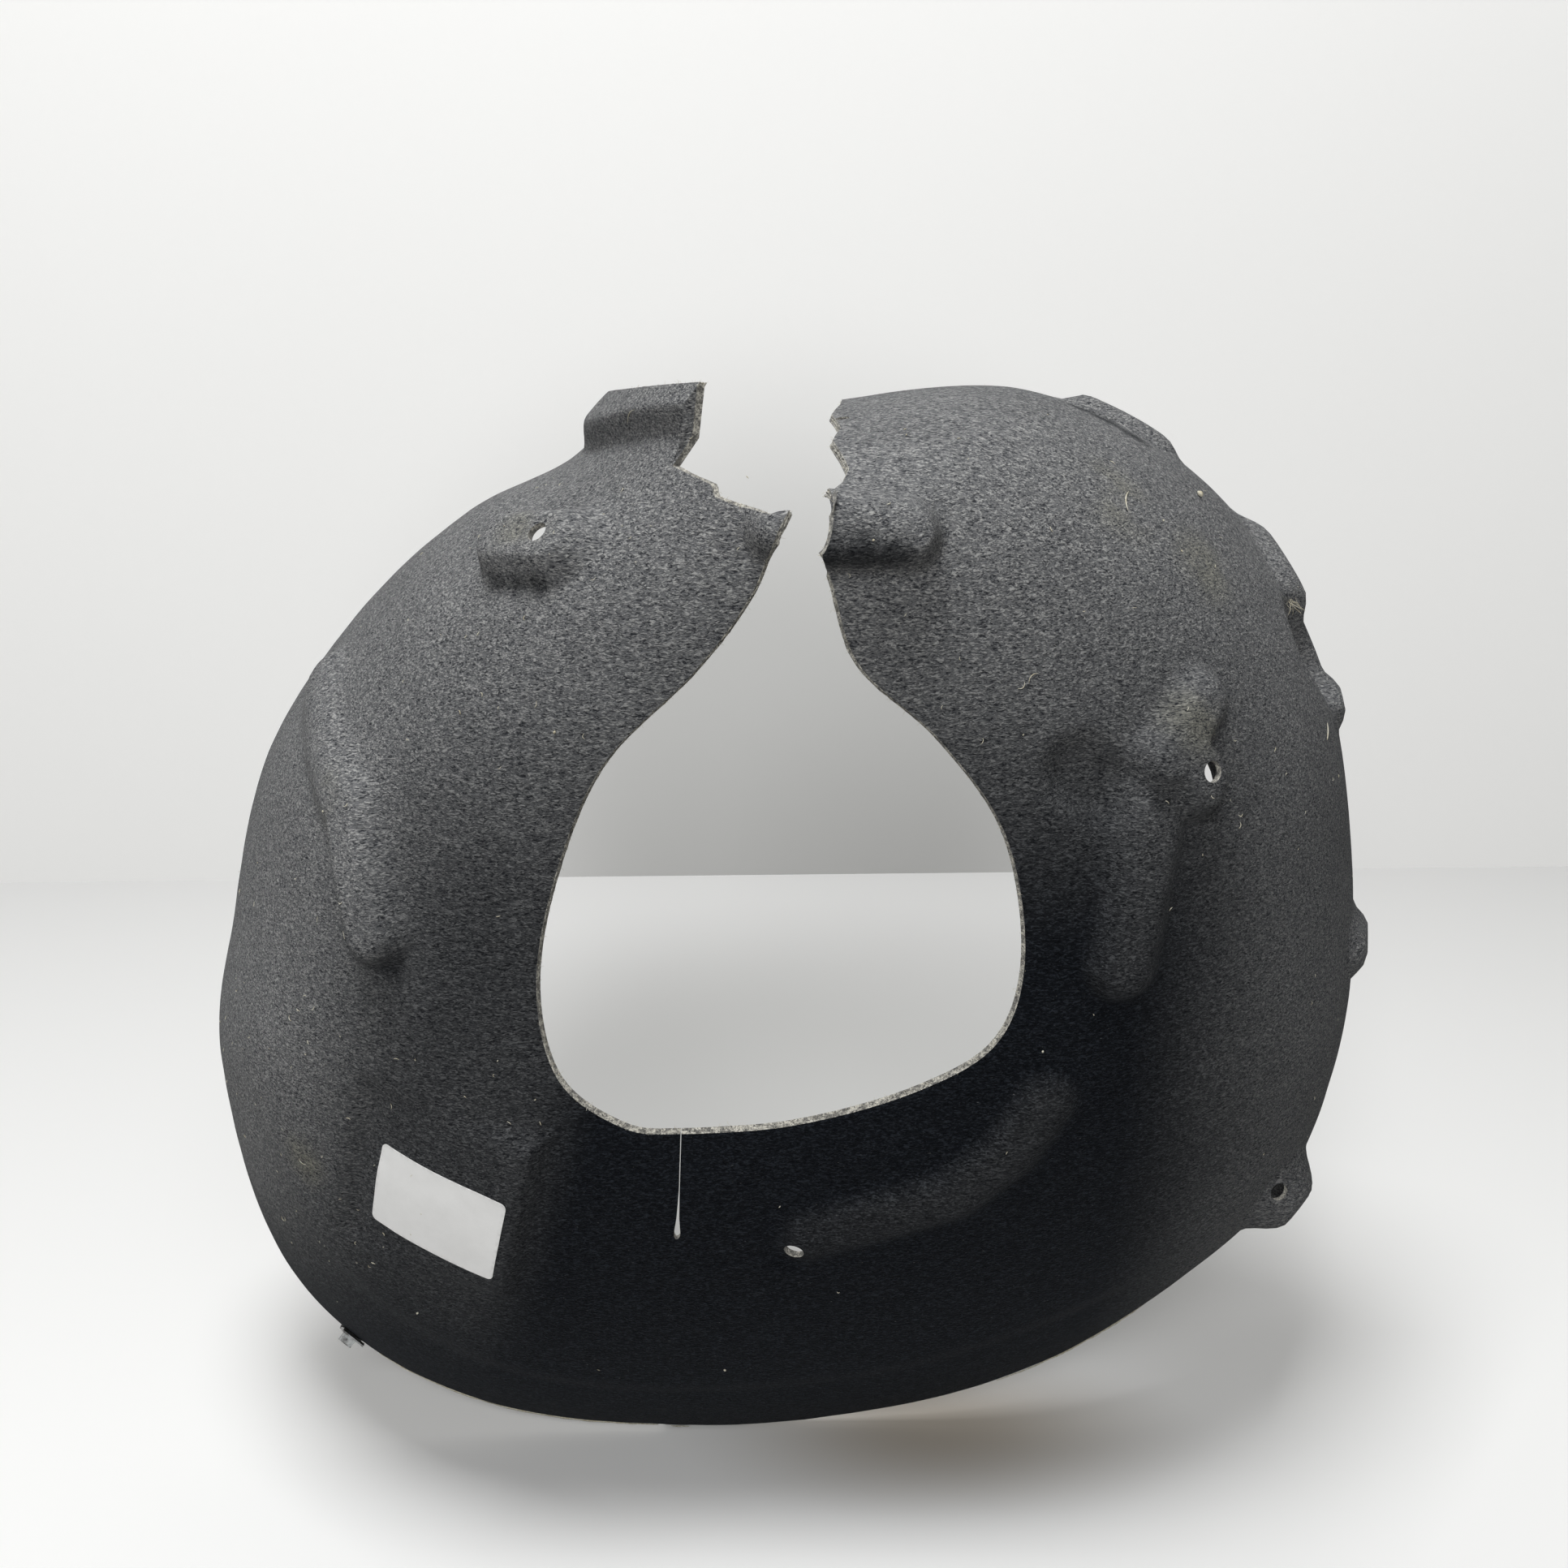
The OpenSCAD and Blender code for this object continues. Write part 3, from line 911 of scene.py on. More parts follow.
@dataclass
class FeltMoulding:
    """The one-piece felt shell, at the render's own fineness."""

    columns: int = 440
    rows: int = 92
    notch_rows: Pair = (0.355, 0.375)
    sway: float = 0.5
    sway_waves: Waves = ((34, 11, 0.7), (13, 12, 0.3))
    bulge_waves: Waves = ((21, 13, 0.3),)
    border: tuple[Points, Points, Points] | None = None
    bevel: float = 0.8
    edge_layers: int = 6
    layer_dip: float = 0.4
    layer_swell: float = 0.6
    fray: float = 0.35
    fray_size: float = 2.5
    fray_seed: int = 31
    crease_angle: float = 50
    tool_length: float = 30
    tool_turn: Triple = (0.3, 0.1, 0.9)
    hole_facets: int = 48
    slit_short: float = 3
    slit_lean: float = -4.5
    slit_above: float = 12
    slit_hairline: float = 0.55
    slit_flare: Pair = (0.45, 0.8)
    bowl_facets: int = 8
    # Where the felt turns paler: higher up the arms, and at the left and right sides as painted sheen and
    # side light.
    paler_heights: Pair = (330, 570)
    painted_sheen_left: Pair = (120, 240)
    painted_sheen_border: Pair = (35, 80)
    painted_sheen_border_most: float = 0.22
    painted_sheen_lean: float = 0.3
    painted_sheen_foot: Pair = (60, 200)
    painted_sheen_right: Pair = (225, 335)
    painted_sheen_right_most: float = 0.55
    paler_waves: Waves = ((45, 23, 0.12),)
    rubbed: float = 0.3
    rubbed_at: float = 14
    dust_most: float = 0.5
    dust_core: float = 0.1
    dust_patches: Pair = (-0.6, 0.5)
    dust_waves: Waves = ((14, 21, 1.0), (5, 22, 0.4))
    dust_places: tuple[Spot, ...] = (
        (226, -45, 541, 34), (270, -35, 505, 30), (255, -94, 440, 24), (-46, -72, 526, 26),
        (-179, -70, 215, 22), (-150, -70, 405, 20),
    )
    # Darker felt at listed places in creases, under bosses and along ridges: painted shade.
    painted_shade_most: float = 0.75
    painted_shade_core: float = 0.3
    painted_shade_places: tuple[Spot, ...] = (
        (-117, -100, 334, 17), (238, -104, 409, 13), (230, 60, 583, 12), (242, 54, 576, 15),
        (254, 46, 567, 13), (1, -29, 578, 5), (74, -133, 525, 17), (88, -133, 525, 17), (102, -132, 524, 17),
        (116, -131, 522, 16), (-60, -66, 508, 12), (-50, -74, 508, 12), (-40, -82, 508, 12),
    )

    def grid(self) -> tuple[Points, Points]:
        """Lay out the moulding's grid, columns first.

        Returns:
            Station and place across of every grid point.
        """
        fine = np.linspace(0, SHELL.last, self.columns)
        marks = [SHELL.crown_at - SHELL.lip_gap, SHELL.crown_at, SHELL.fit_left, SHELL.fit_right]
        stations = np.unique(np.concatenate([fine, marks]))
        rows = np.unique(np.concatenate([np.linspace(0, 1, self.rows), self.notch_rows]))
        station, across = np.meshgrid(stations, rows, indexing="ij")
        return SHELL.cut_station(station, across), SHELL.row_place(station, across)

    def skins(self) -> tuple[Points, Points]:
        """Shape the moulding's two faces, each a little uneven.

        Returns:
            The face towards the car body and the face towards the wheel, in mm.
        """
        station, across = self.grid()
        face = SHELL.face_point(station, across)
        out = SHELL.face_out(station, across)
        face = face + out * (waves(face, self.sway_waves) * self.sway)[..., None]
        back = face - out * (SHELL.felt_t + waves(face, self.bulge_waves))[..., None]
        return face, back

    def cutters(self, nap: Material, cut: Material) -> Piece:
        """Make the tools that cut the holes and the slit.

        Args:
            nap: The felt's finish.
            cut: The finish of its cut edges.

        Returns:
            One object that holds all the tools.
        """
        vertices: list[Points] = []
        faces: list[list[int]] = []

        def prism(outline: Points, low: Points, high: Points) -> None:
            """Add a closed prism between two moved copies of an outline.

            Args:
                outline: Points round the prism.
                low: Move to its one end.
                high: Move to its other end.
            """
            start, count = sum(len(v) for v in vertices), len(outline)
            lower, upper = list(range(start, start + count)), list(range(start + count, start + 2 * count))
            vertices.append(np.vstack([outline + low, outline + high]))
            faces.extend([lower[::-1], upper])
            for k in range(count):
                after = (k + 1) % count
                faces.append([lower[k], lower[after], upper[after], upper[k]])

        for hole in SHELL.holes:
            point, out = SHELL.at(hole.station, hole.across)
            side = unit(np.cross(out, self.tool_turn))
            other = np.cross(out, side)
            turn = np.linspace(0, 2 * np.pi, self.hole_facets, endpoint=False)[:, None]
            ring = (np.cos(turn) * side + np.sin(turn) * other) * hole.diameter / 2
            prism(point + ring, -out * self.tool_length / 2, out * self.tool_length / 2)
        top, _ = SHELL.at(SHELL.slit_at, 0)
        reach = np.array([0, self.tool_length, 0])
        prism(self.slit_outline() + top, reach, -reach)
        tool = new_object("hole_tools", to_frame(np.vstack(vertices)), faces, [nap, cut])
        tool.data.polygons.foreach_set("material_index", [Zone.CUT_EDGE.value] * len(faces))
        return tool

    def slit_outline(self) -> Points:
        """Draw the slit seen from the front: a hairline that widens to a round end.

        Returns:
            Points of its outline in mm, from the opening's edge.
        """
        half, radius, length = SHELL.slit_w / 4, SHELL.slit_end_d / 2, SHELL.slit_l - self.slit_short
        width, depth = self.slit_flare
        bowl_top = radius * 2 - length
        flare = [(-half, self.slit_above), (-half, -length * self.slit_hairline),
                 (-radius * width, -length * depth), (-radius, bowl_top)]
        turn = np.linspace(math.pi, 2 * math.pi, self.bowl_facets + 1)[1:-1]
        bowl = [(radius * math.cos(a), bowl_top + radius * 2 * math.sin(a)) for a in turn]
        outline = flare + bowl + [(-x, z) for x, z in flare[::-1]]
        return np.array([(x + self.slit_lean * min(z, 0) / -length, 0, z) for x, z in outline])

    def inner(self, place_at: tuple[int, int], columns: int, rows: int) -> tuple[int, int]:
        """Return the grid place one step in from an edge place."""
        i, j = place_at
        return min(max(i, 1), columns - 2), min(max(j, 1), rows - 2)

    def edge_layer(self, layer: int) -> Points:
        """Shape one layer of the cut edge: every other one is drawn in, and all are a little frayed.

        Args:
            layer: The layer's number, from the face.

        Returns:
            The layer's points in mm.
        """
        edge, across, inward = self.border
        middle = edge - across * (layer / self.edge_layers)
        dip = self.layer_dip * (1 if layer % 2 == 0 else -self.layer_swell)
        frayed = lumps(middle, self.fray_size, self.fray_seed + layer)[:, None] * self.fray
        return middle + inward * (dip + frayed)

    def build(self, nap: Material, cut: Material) -> Piece:
        """Return the moulding with its holes cut.

        Args:
            nap: The felt's finish.
            cut: The finish of its cut edges.

        Returns:
            The finished piece.
        """
        face, back = self.skins()
        columns, rows = face.shape[:2]
        count = columns * rows
        walk = rim_walk(columns, rows)
        inward = unit(np.array([face[self.inner(p, columns, rows)] - face[p] for p in walk]))
        for p, way in zip(walk, inward):
            face[p] += way * self.bevel
            back[p] -= way * self.bevel
        self.border = (np.array([face[p] for p in walk]), np.array([face[p] - back[p] for p in walk]), inward)
        layers = [self.edge_layer(layer) for layer in range(1, self.edge_layers)]
        rings = [[i * rows + j for i, j in walk]]
        for k in range(len(layers)):
            start = 2 * count + k * len(walk)
            rings.append(list(range(start, start + len(walk))))
        rings.append([n + count for n in rings[0]])
        faces = sheet_faces(columns, rows)
        zones = [Zone.NAP.value] * len(faces)
        for upper, lower in zip(rings, rings[1:]):
            faces += wrap(upper, lower)
        zones += [Zone.CUT_EDGE.value] * (len(faces) - len(zones))
        points = np.vstack([face.reshape(-1, 3), back.reshape(-1, 3), *layers])
        piece = new_object("felt_moulding", to_frame(points), faces, [nap, cut])
        piece.data.polygons.foreach_set("material_index", zones)
        self.cut_holes(piece, nap, cut)
        self.mark_dust_and_painted_light(piece)
        piece.data.set_sharp_from_angle(angle=math.radians(self.crease_angle))
        return piece

    def cut_holes(self, piece: Piece, nap: Material, cut: Material) -> None:
        """Cut the holes and the slit out of the moulding, and line them with cut felt.

        Args:
            piece: The moulding.
            nap: The felt's finish.
            cut: The finish of its cut edges.
        """
        tool = self.cutters(nap, cut)
        modifier = piece.modifiers.new("holes", "BOOLEAN")
        modifier.operation = "DIFFERENCE"
        modifier.solver = "MANIFOLD"
        modifier.object = tool
        graph = bpy.context.evaluated_depsgraph_get()
        carved = bpy.data.meshes.new_from_object(piece.evaluated_get(graph))
        piece.modifiers.clear()
        piece.data = carved
        bpy.data.objects.remove(tool)

    def near(self, points: Points, places: tuple[Spot, ...], core: float) -> Points:
        """Mark what lies near any of some places.

        Args:
            points: Places in mm, with x, y and z on the last axis.
            places: Each place's x, y, z and reach in mm.
            core: Share of the reach that is marked in full.

        Returns:
            1 at a place, falling to 0 at its reach.
        """
        total = np.zeros(len(points))
        for x, y, z, reach in places:
            away = np.linalg.norm(points - np.array([x, y, z]), axis=-1)
            total = np.maximum(total, 1 - smooth(reach * core, reach, away))
        return total

    def dust(self, points: Points) -> Points:
        """Return how much dust lies at each point, from 0 to 1."""
        patchy = smooth(*self.dust_patches, waves(points, self.dust_waves))
        return self.near(points, self.dust_places, self.dust_core) * patchy * self.dust_most

    def paler_and_painted_light(self, points: Points) -> Points:
        """Make the felt paler up the arms, at the sides as painted sheen and side light, and on raised forms,
        and darker at listed places as painted shade.

        Args:
            points: Places in mm, with x, y and z on the last axis.

        Returns:
            How pale the felt is at each point, from 0 to 1, with painted sheen, side light and shade in it.
        """
        x, z = points[:, 0], points[:, 2]
        up = smooth(*self.paler_heights, z)
        reach = self.painted_sheen_lean * (z - self.painted_sheen_foot[1]) - x
        border = smooth(*self.painted_sheen_border, reach) * self.painted_sheen_border_most
        # The left side and the right side turn paler: painted sheen and side light.
        beside = border + (1 - self.painted_sheen_border_most) * smooth(*self.painted_sheen_left, reach)
        left = beside * smooth(*self.painted_sheen_foot, z)
        right = smooth(*self.painted_sheen_right, x) * self.painted_sheen_right_most
        crest = np.max([form.height(points) for form in SHELL.raised], axis=0)
        worn = self.rubbed * np.clip(crest / self.rubbed_at, 0, 1)
        total = (1 - (1 - up) * (1 - left) * (1 - right) + worn) * (1 + waves(points, self.paler_waves))
        # Darken the listed places: painted shade in creases and under forms.
        painted_shade = self.painted_shade_most * self.near(points, self.painted_shade_places, self.painted_shade_core)
        return np.clip(total * (1 - painted_shade), 0, 1)

    def mark_dust_and_painted_light(self, piece: Piece) -> None:
        """Store the share of dust, and the share of paler felt with its painted sheen, side light and shade,
        on the moulding's corners.

        Args:
            piece: The moulding, its holes cut.
        """
        mesh = piece.data
        places = np.zeros(len(mesh.vertices) * 3)
        mesh.vertices.foreach_get("co", places)
        points = places.reshape(-1, 3) / MM + ORIGIN
        for name, share in (("dust", self.dust(points)), ("paler_and_painted_light", self.paler_and_painted_light(points))):
            layer = mesh.attributes.new(name, "FLOAT", "POINT")
            layer.data.foreach_set("value", share.astype(np.float32))


@dataclass
class Strands:
    """Thin bent fibres, gathered into one mesh, in mm."""

    sides: int = 4
    bends: int = 6
    tip: float = 0.4
    side_turn: Triple = (0.31, 0.52, 0.79)
    vertices: list[Points] = field(default_factory=list)
    faces: list[list[int]] = field(default_factory=list)
    count: int = 0

    def add(self, path: Points, radius: float) -> None:
        """Add a closed tube along a path, thinner at both ends.

        Args:
            path: Points along the tube in mm.
            radius: Its radius at the middle.
        """
        steps = len(path)
        along = np.gradient(path, axis=0)
        side = unit(np.cross(along, self.side_turn))[:, None]
        other = unit(np.cross(along[:, None], side))
        turn = np.linspace(0, 2 * np.pi, self.sides, endpoint=False)[None, :, None]
        belly = np.sin(np.pi * np.linspace(0, 1, steps))
        girth = radius * (self.tip + (1 - self.tip) * belly)[:, None, None]
        rings = path[:, None] + (np.cos(turn) * side + np.sin(turn) * other) * girth
        ids = np.arange(steps * self.sides).reshape(steps, self.sides) + self.count
        after = np.roll(ids, -1, axis=1)
        self.faces += np.stack([ids[:-1], after[:-1], after[1:], ids[1:]], -1).reshape(-1, 4).tolist()
        self.faces += [ids[0, ::-1].tolist(), ids[-1].tolist()]
        self.vertices.append(rings.reshape(-1, 3))
        self.count += steps * self.sides

    def curl(self, middle: Points, heading: Points, bend: Points, length: float, radius: float) -> None:
        """Add one fibre that bows from a straight line.

        Args:
            middle: The fibre's middle in mm.
            heading: Unit vector along it.
            bend: Which way it bows, as a share of its length.
            length: Its length.
            radius: Its radius.
        """
        s = np.linspace(-1, 1, self.bends)[:, None]
        self.add(middle + heading * s * length / 2 + bend * (1 - s * s) * length, radius)

    def build(self, name: str, finish: Material) -> Piece:
        """Return all the fibres as one piece."""
        return new_object(name, to_frame(np.vstack(self.vertices)), self.faces, [finish])


@dataclass
class Litter:
    """Straw, lint and loose fibres that cling to the felt."""

    seed: int = 51
    scattered: int = 160
    stations: Pair = (0.5, 17.5)
    section: Pair = (0.04, 0.85)
    swept: Pair = (7.4, 12.2)
    swept_left: float = 0.15
    by_label: int = 34
    label_low: Pair = (5.4, 0.30)
    label_high: Pair = (7.2, 0.80)
    lint_length: Pair = (0.8, 3.2)
    lint_radius: Pair = (0.14, 0.27)
    lint_bow: float = 0.4
    lint_rise: float = 0.1
    lint_lift: float = 0.35
    straw_bends: int = 7
    straw_lift: float = 0.4
    crumb_lift: float = 0.6
    crumb_length: float = 2.4
    straws: tuple[tuple[float, float, float, float, float, float], ...] = (
        (16.30, 0.575, 16.22, 0.528, 0.38, 0.12), (14.77, 0.708, 14.70, 0.682, 0.38, -0.10),
        (15.50, 0.190, 15.44, 0.168, 0.20, 0.25), (15.46, 0.165, 15.42, 0.150, 0.20, -0.30),
        (0.46, 0.520, 0.54, 0.560, 0.22, 0.10), (9.02, 0.968, 9.08, 0.975, 0.30, 0.30),
        (9.05, 0.955, 9.06, 0.985, 0.25, 0.20), (9.10, 0.990, 9.07, 0.970, 0.25, -0.20),
        (4.96, 0.318, 5.02, 0.312, 0.22, 0.30), (6.46, 0.545, 6.50, 0.530, 0.20, 0.20),
    )
    crumbs: tuple[Triple, ...] = (
        (16.05, 0.75, 1.5), (7.53, 0.58, 0.7), (9.30, 0.55, 0.6), (16.07, 0.575, 0.5), (15.88, 0.55, 0.5),
        (3.60, 0.12, 0.6), (17.15, 0.105, 0.5), (4.19, 0.425, 0.5), (12.24, 0.06, 0.5),
    )
    tail_at: Pair = (15.36, 0.80)
    tail_fibres: int = 14
    tail_way: Triple = (0.75, 0.1, -0.5)
    tail_spread: float = 0.45
    tail_reach: float = 3
    tail_bow: float = 0.12
    tail_length: Pair = (4, 11)
    tail_radius: Pair = (0.10, 0.18)

    def lay_straws(self, strands: Strands) -> None:
        """Lay each straw along the felt between its two ends, bowed sideways.

        Args:
            strands: The mesh that takes them.
        """
        for t1, u1, t2, u2, radius, bow in self.straws:
            s = np.linspace(0, 1, self.straw_bends)
            station, across = t1 + (t2 - t1) * s, u1 + (u2 - u1) * s
            lift = SHELL.face_out(station, across) * (radius + self.straw_lift)
            path = SHELL.face_point(station, across) + lift
            sideways = unit(np.cross(path[-1] - path[0], SHELL.at(t1, u1)[1]))
            reach = np.linalg.norm(path[-1] - path[0])
            strands.add(path + sideways * (bow * reach * 4 * s * (1 - s))[:, None], radius)

    def drop_crumbs(self, strands: Strands, rng: np.random.Generator) -> None:
        """Drop each crumb on the felt, turned at random.

        Args:
            strands: The mesh that takes them.
            rng: Source of the random turns.
        """
        for t, u, radius in self.crumbs:
            point, out = SHELL.at(t, u)
            heading = unit(np.cross(out, rng.normal(size=3)))
            middle = point + out * radius * self.crumb_lift
            strands.curl(middle, heading, out * self.lint_rise, radius * self.crumb_length, radius)

    def scatter_lint(self, strands: Strands, rng: np.random.Generator) -> None:
        """Scatter lint over the felt, thinly on the crown and more of it round the label.

        Args:
            strands: The mesh that takes it.
            rng: Source of the random places.
        """
        station = rng.uniform(*self.stations, self.scattered)
        across = rng.uniform(*self.section, self.scattered)
        kept = (station < self.swept[0]) | (station > self.swept[1])
        kept |= rng.uniform(0, 1, self.scattered) < self.swept_left
        beside = rng.uniform(self.label_low, self.label_high, (self.by_label, 2))
        station, across = np.append(station[kept], beside[:, 0]), np.append(across[kept], beside[:, 1])
        for point, out in zip(SHELL.face_point(station, across), SHELL.face_out(station, across)):
            heading = unit(np.cross(out, rng.normal(size=3)))
            bow = np.cross(out, heading) * rng.uniform(-self.lint_bow, self.lint_bow) + out * self.lint_rise
            length = rng.uniform(*self.lint_length)
            strands.curl(point + out * self.lint_lift, heading, bow, length, rng.uniform(*self.lint_radius))

    def fray_tail(self, strands: Strands, rng: np.random.Generator) -> None:
        """Hang a frayed tail of fibres on the pocket's upper end.

        Args:
            strands: The mesh that takes it.
            rng: Source of the random bends.
        """
        point, out = SHELL.at(*self.tail_at)
        for _ in range(self.tail_fibres):
            heading = unit(np.array(self.tail_way) + rng.normal(size=3) * self.tail_spread)
            middle = point + out + heading * self.tail_reach + rng.normal(size=3)
            bow = rng.normal(size=3) * self.tail_bow
            length = rng.uniform(*self.tail_length)
            strands.curl(middle, heading, bow, length, rng.uniform(*self.tail_radius))

    def build(self, finish: Material) -> Piece:
        """Gather the straws, crumbs, lint and tail.

        Args:
            finish: The piece's finish.

        Returns:
            The litter as one piece.
        """
        rng = np.random.default_rng(self.seed)
        strands = Strands()
        self.lay_straws(strands)
        self.drop_crumbs(strands, rng)
        self.scatter_lint(strands, rng)
        self.fray_tail(strands, rng)
        return strands.build("straw_and_lint", finish)


@dataclass
class EdgeFibres:
    """Fibres that stand out of the cut edges."""

    seed: int = 52
    number: int = 1100
    radius: float = 0.07
    length: Pair = (0.8, 2.8)
    scatter: float = 0.3
    outward: Pair = (0.2, 1)
    spread: float = 0.6
    rooted: float = 0.35
    bow: float = 0.15
    matted: tuple[Triple, ...] = ((7.6, 8.96, 0.75), (10.4, 11.4, 0.6))
    matted_bends: int = 60
    matted_inset: float = 0.002
    matted_lift: float = 0.2
    matted_waves: Waves = ((4, 33, 0.3),)

    def build(self, border: tuple[Points, Points, Points], finish: Material) -> Piece:
        """Return the fibres as one piece.

        Args:
            border: The moulding's edge: points on its face, the way from back to face, and the way inward.
            finish: The fibres' finish.

        Returns:
            The finished piece.
        """
        rng = np.random.default_rng(self.seed)
        face, across, inward = border
        strands = Strands(sides=3)
        for k in rng.integers(0, len(face), self.number):
            root = face[k] - across[k] * rng.uniform(0, 1) + rng.normal(size=3) * self.scatter
            heading = unit(-inward[k] * rng.uniform(*self.outward) + rng.normal(size=3) * self.spread)
            length = rng.uniform(*self.length)
            middle = root + heading * length * self.rooted
            strands.curl(middle, heading, rng.normal(size=3) * self.bow, length, self.radius)
        for start, end, radius in self.matted:
            station = np.linspace(start, end, self.matted_bends)
            place_across = SHELL.row_place(station, np.ones(len(station))) - self.matted_inset
            path, out = SHELL.face_point(station, place_across), SHELL.face_out(station, place_across)
            lift = self.matted_lift + waves(path, self.matted_waves)
            strands.add(path + out * lift[:, None], radius)
        return strands.build("edge_fibres", finish)


@dataclass
class PaperLabel:
    """The blank label on the tilted panel, bent to the felt."""

    width: float = 72
    height: float = 50
    thickness: float = 0.3
    lift: float = 0.35
    corner: float = 3
    station: float = 7.16
    across: float = 0.329
    lean: float = -18
    columns: int = 48
    lines: int = 28
    corner_steps: int = 7
    slides: int = 5
    ripple_waves: Waves = ((11, 41, 0.2),)
    curl: float = 0.9
    curl_reach: float = 9
    curl_skew: float = 0.4
    curl_patches: Pair = (-0.3, 0.6)
    curl_waves: Waves = ((26, 43, 1.0),)
    scuff_reach: float = 2.5
    crease_angle: float = 60

    def under(self, target: Points) -> tuple[Points, Points]:
        """Slide along the face's two slopes until each place lies under its target.

        Args:
            target: Points in mm near the face.

        Returns:
            Station and place across under each target.
        """
        t = np.full(target.shape[:-1], self.station)
        u = np.full(target.shape[:-1], self.across)
        step = SHELL.slope_step
        for _ in range(self.slides):
            along = (SHELL.face_point(t + step, u) - SHELL.face_point(t - step, u)) / (2 * step)
            over = (SHELL.face_point(t, u + step) - SHELL.face_point(t, u - step)) / (2 * step)
            miss = target - SHELL.face_point(t, u)
            aa, bb, ab = (along * along).sum(-1), (over * over).sum(-1), (along * over).sum(-1)
            ma, mb = (miss * along).sum(-1), (miss * over).sum(-1)
            base = aa * bb - ab * ab
            t = t + (ma * bb - mb * ab) / base
            u = u + (mb * aa - ma * ab) / base
        return t, u

    def blank(self) -> tuple[Points, Points]:
        """Cut the flat label out, with its round corners.

        Returns:
            The label's columns, and half its height at each.
        """
        ends = self.corner * (1 - np.cos(np.linspace(0, np.pi / 2, self.corner_steps)))
        inner = np.linspace(self.corner, self.width - self.corner, self.columns)[1:-1]
        column = np.concatenate([ends, inner, self.width - ends[::-1]])
        short = self.corner - np.minimum(np.minimum(column, self.width - column), self.corner)
        inset = self.corner - np.sqrt(self.corner ** 2 - short ** 2)
        return column, self.height / 2 - inset

    def build(self, paper: Material) -> Piece:
        """Return the label, a thin closed sheet with round corners.

        Args:
            paper: The label's finish.

        Returns:
            The finished piece.
        """
        middle, out = SHELL.at(self.station, self.across)
        level = unit(np.cross(out, [0, 0, 1]))
        lean = math.radians(self.lean)
        long_side = level * math.cos(lean) - np.cross(level, out) * math.sin(lean)
        short_side = np.cross(long_side, out)
        column, half = self.blank()
        line = np.linspace(-1, 1, self.lines)
        target = (middle + (column - self.width / 2)[:, None, None] * long_side
                  + (half[:, None] * line)[..., None] * short_side)
        t, u = self.under(target)
        face, out = SHELL.face_point(t, u), SHELL.face_out(t, u)
        to_side = np.minimum(column, self.width - column)[:, None]
        to_end = (1 - np.abs(line)) * self.height / 2
        from_edge = np.minimum(to_side, to_end + to_side * self.curl_skew)
        loose = smooth(*self.curl_patches, waves(face, self.curl_waves))
        curled = self.curl * (1 - smooth(0, self.curl_reach, from_edge)) * loose
        low = face + out * (self.lift + waves(face, self.ripple_waves) + curled)[..., None]
        top = low + out * self.thickness
        columns, rows = top.shape[:2]
        upper = [i * rows + j for i, j in rim_walk(columns, rows)]
        faces = sheet_faces(columns, rows) + wrap(upper, [n + columns * rows for n in upper])
        points = np.vstack([top.reshape(-1, 3), low.reshape(-1, 3)])
        piece = new_object("paper_label", to_frame(points), faces, [paper])
        scuff = (1 - smooth(0, self.scuff_reach, np.minimum(to_side, to_end))).ravel()
        layer = piece.data.attributes.new("edge", "FLOAT", "POINT")
        layer.data.foreach_set("value", np.concatenate([scuff, scuff]).astype(np.float32))
        piece.data.set_sharp_from_angle(angle=math.radians(self.crease_angle))
        return piece


@dataclass(frozen=True)
class SpringClip:
    """The folded steel clip and its nut, which keep the solids' own form."""

    node: str = "clip_nut"

    def dress(self, steel: Material) -> Piece:
        """Give the clip its finish.

        Args:
            steel: The clip's finish.

        Returns:
            The dressed clip.
        """
        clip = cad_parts[self.node]
        clip.data.materials.clear()
        clip.data.materials.append(steel)
        return clip


@dataclass(frozen=True)
class Viewpoint:
    """The photograph's camera: its angle, and the rim's foot at its place in the picture."""

    picture: float = 1932
    focal: float = 1932
    pitch: float = 14.0
    roll: float = 0.6
    foot: Pair = (830, 1766)
    stand_off: float = 0.8
    sensor: float = 36

    def axes(self) -> tuple[Vector, Vector, Vector]:
        """Turn the camera down and a little round.

        Returns:
            The camera's forward, right and down directions.
        """
        pitch, roll = math.radians(self.pitch), math.radians(self.roll)
        forward = Vector((0, math.cos(pitch), -math.sin(pitch)))
        right = Vector((1, 0, 0))
        down = forward.cross(right)
        if down.z > 0:
            down = -down
        return (forward, right * math.cos(roll) + down * math.sin(roll),
                down * math.cos(roll) - right * math.sin(roll))

    def build(self) -> Piece:
        """Set up the camera as the scene's own.

        Returns:
            The camera.
        """
        forward, right, down = self.axes()
        half = self.picture / 2
        across, below = ((place_at - half) / self.focal for place_at in self.foot)
        ray = forward + right * across + down * below
        rim_foot = Vector(to_frame(np.zeros(3)))
        data = bpy.data.cameras.new("photo_camera")
        data.sensor_width = self.sensor
        data.lens = self.sensor * self.focal / self.picture
        camera = bpy.data.objects.new("photo_camera", data)
        bpy.context.scene.collection.objects.link(camera)
        turn = Matrix((right, -down, -forward)).transposed().to_4x4()
        camera.matrix_world = Matrix.Translation(rim_foot - ray * (self.stand_off / ray.y)) @ turn
        bpy.context.scene.camera = camera
        return camera


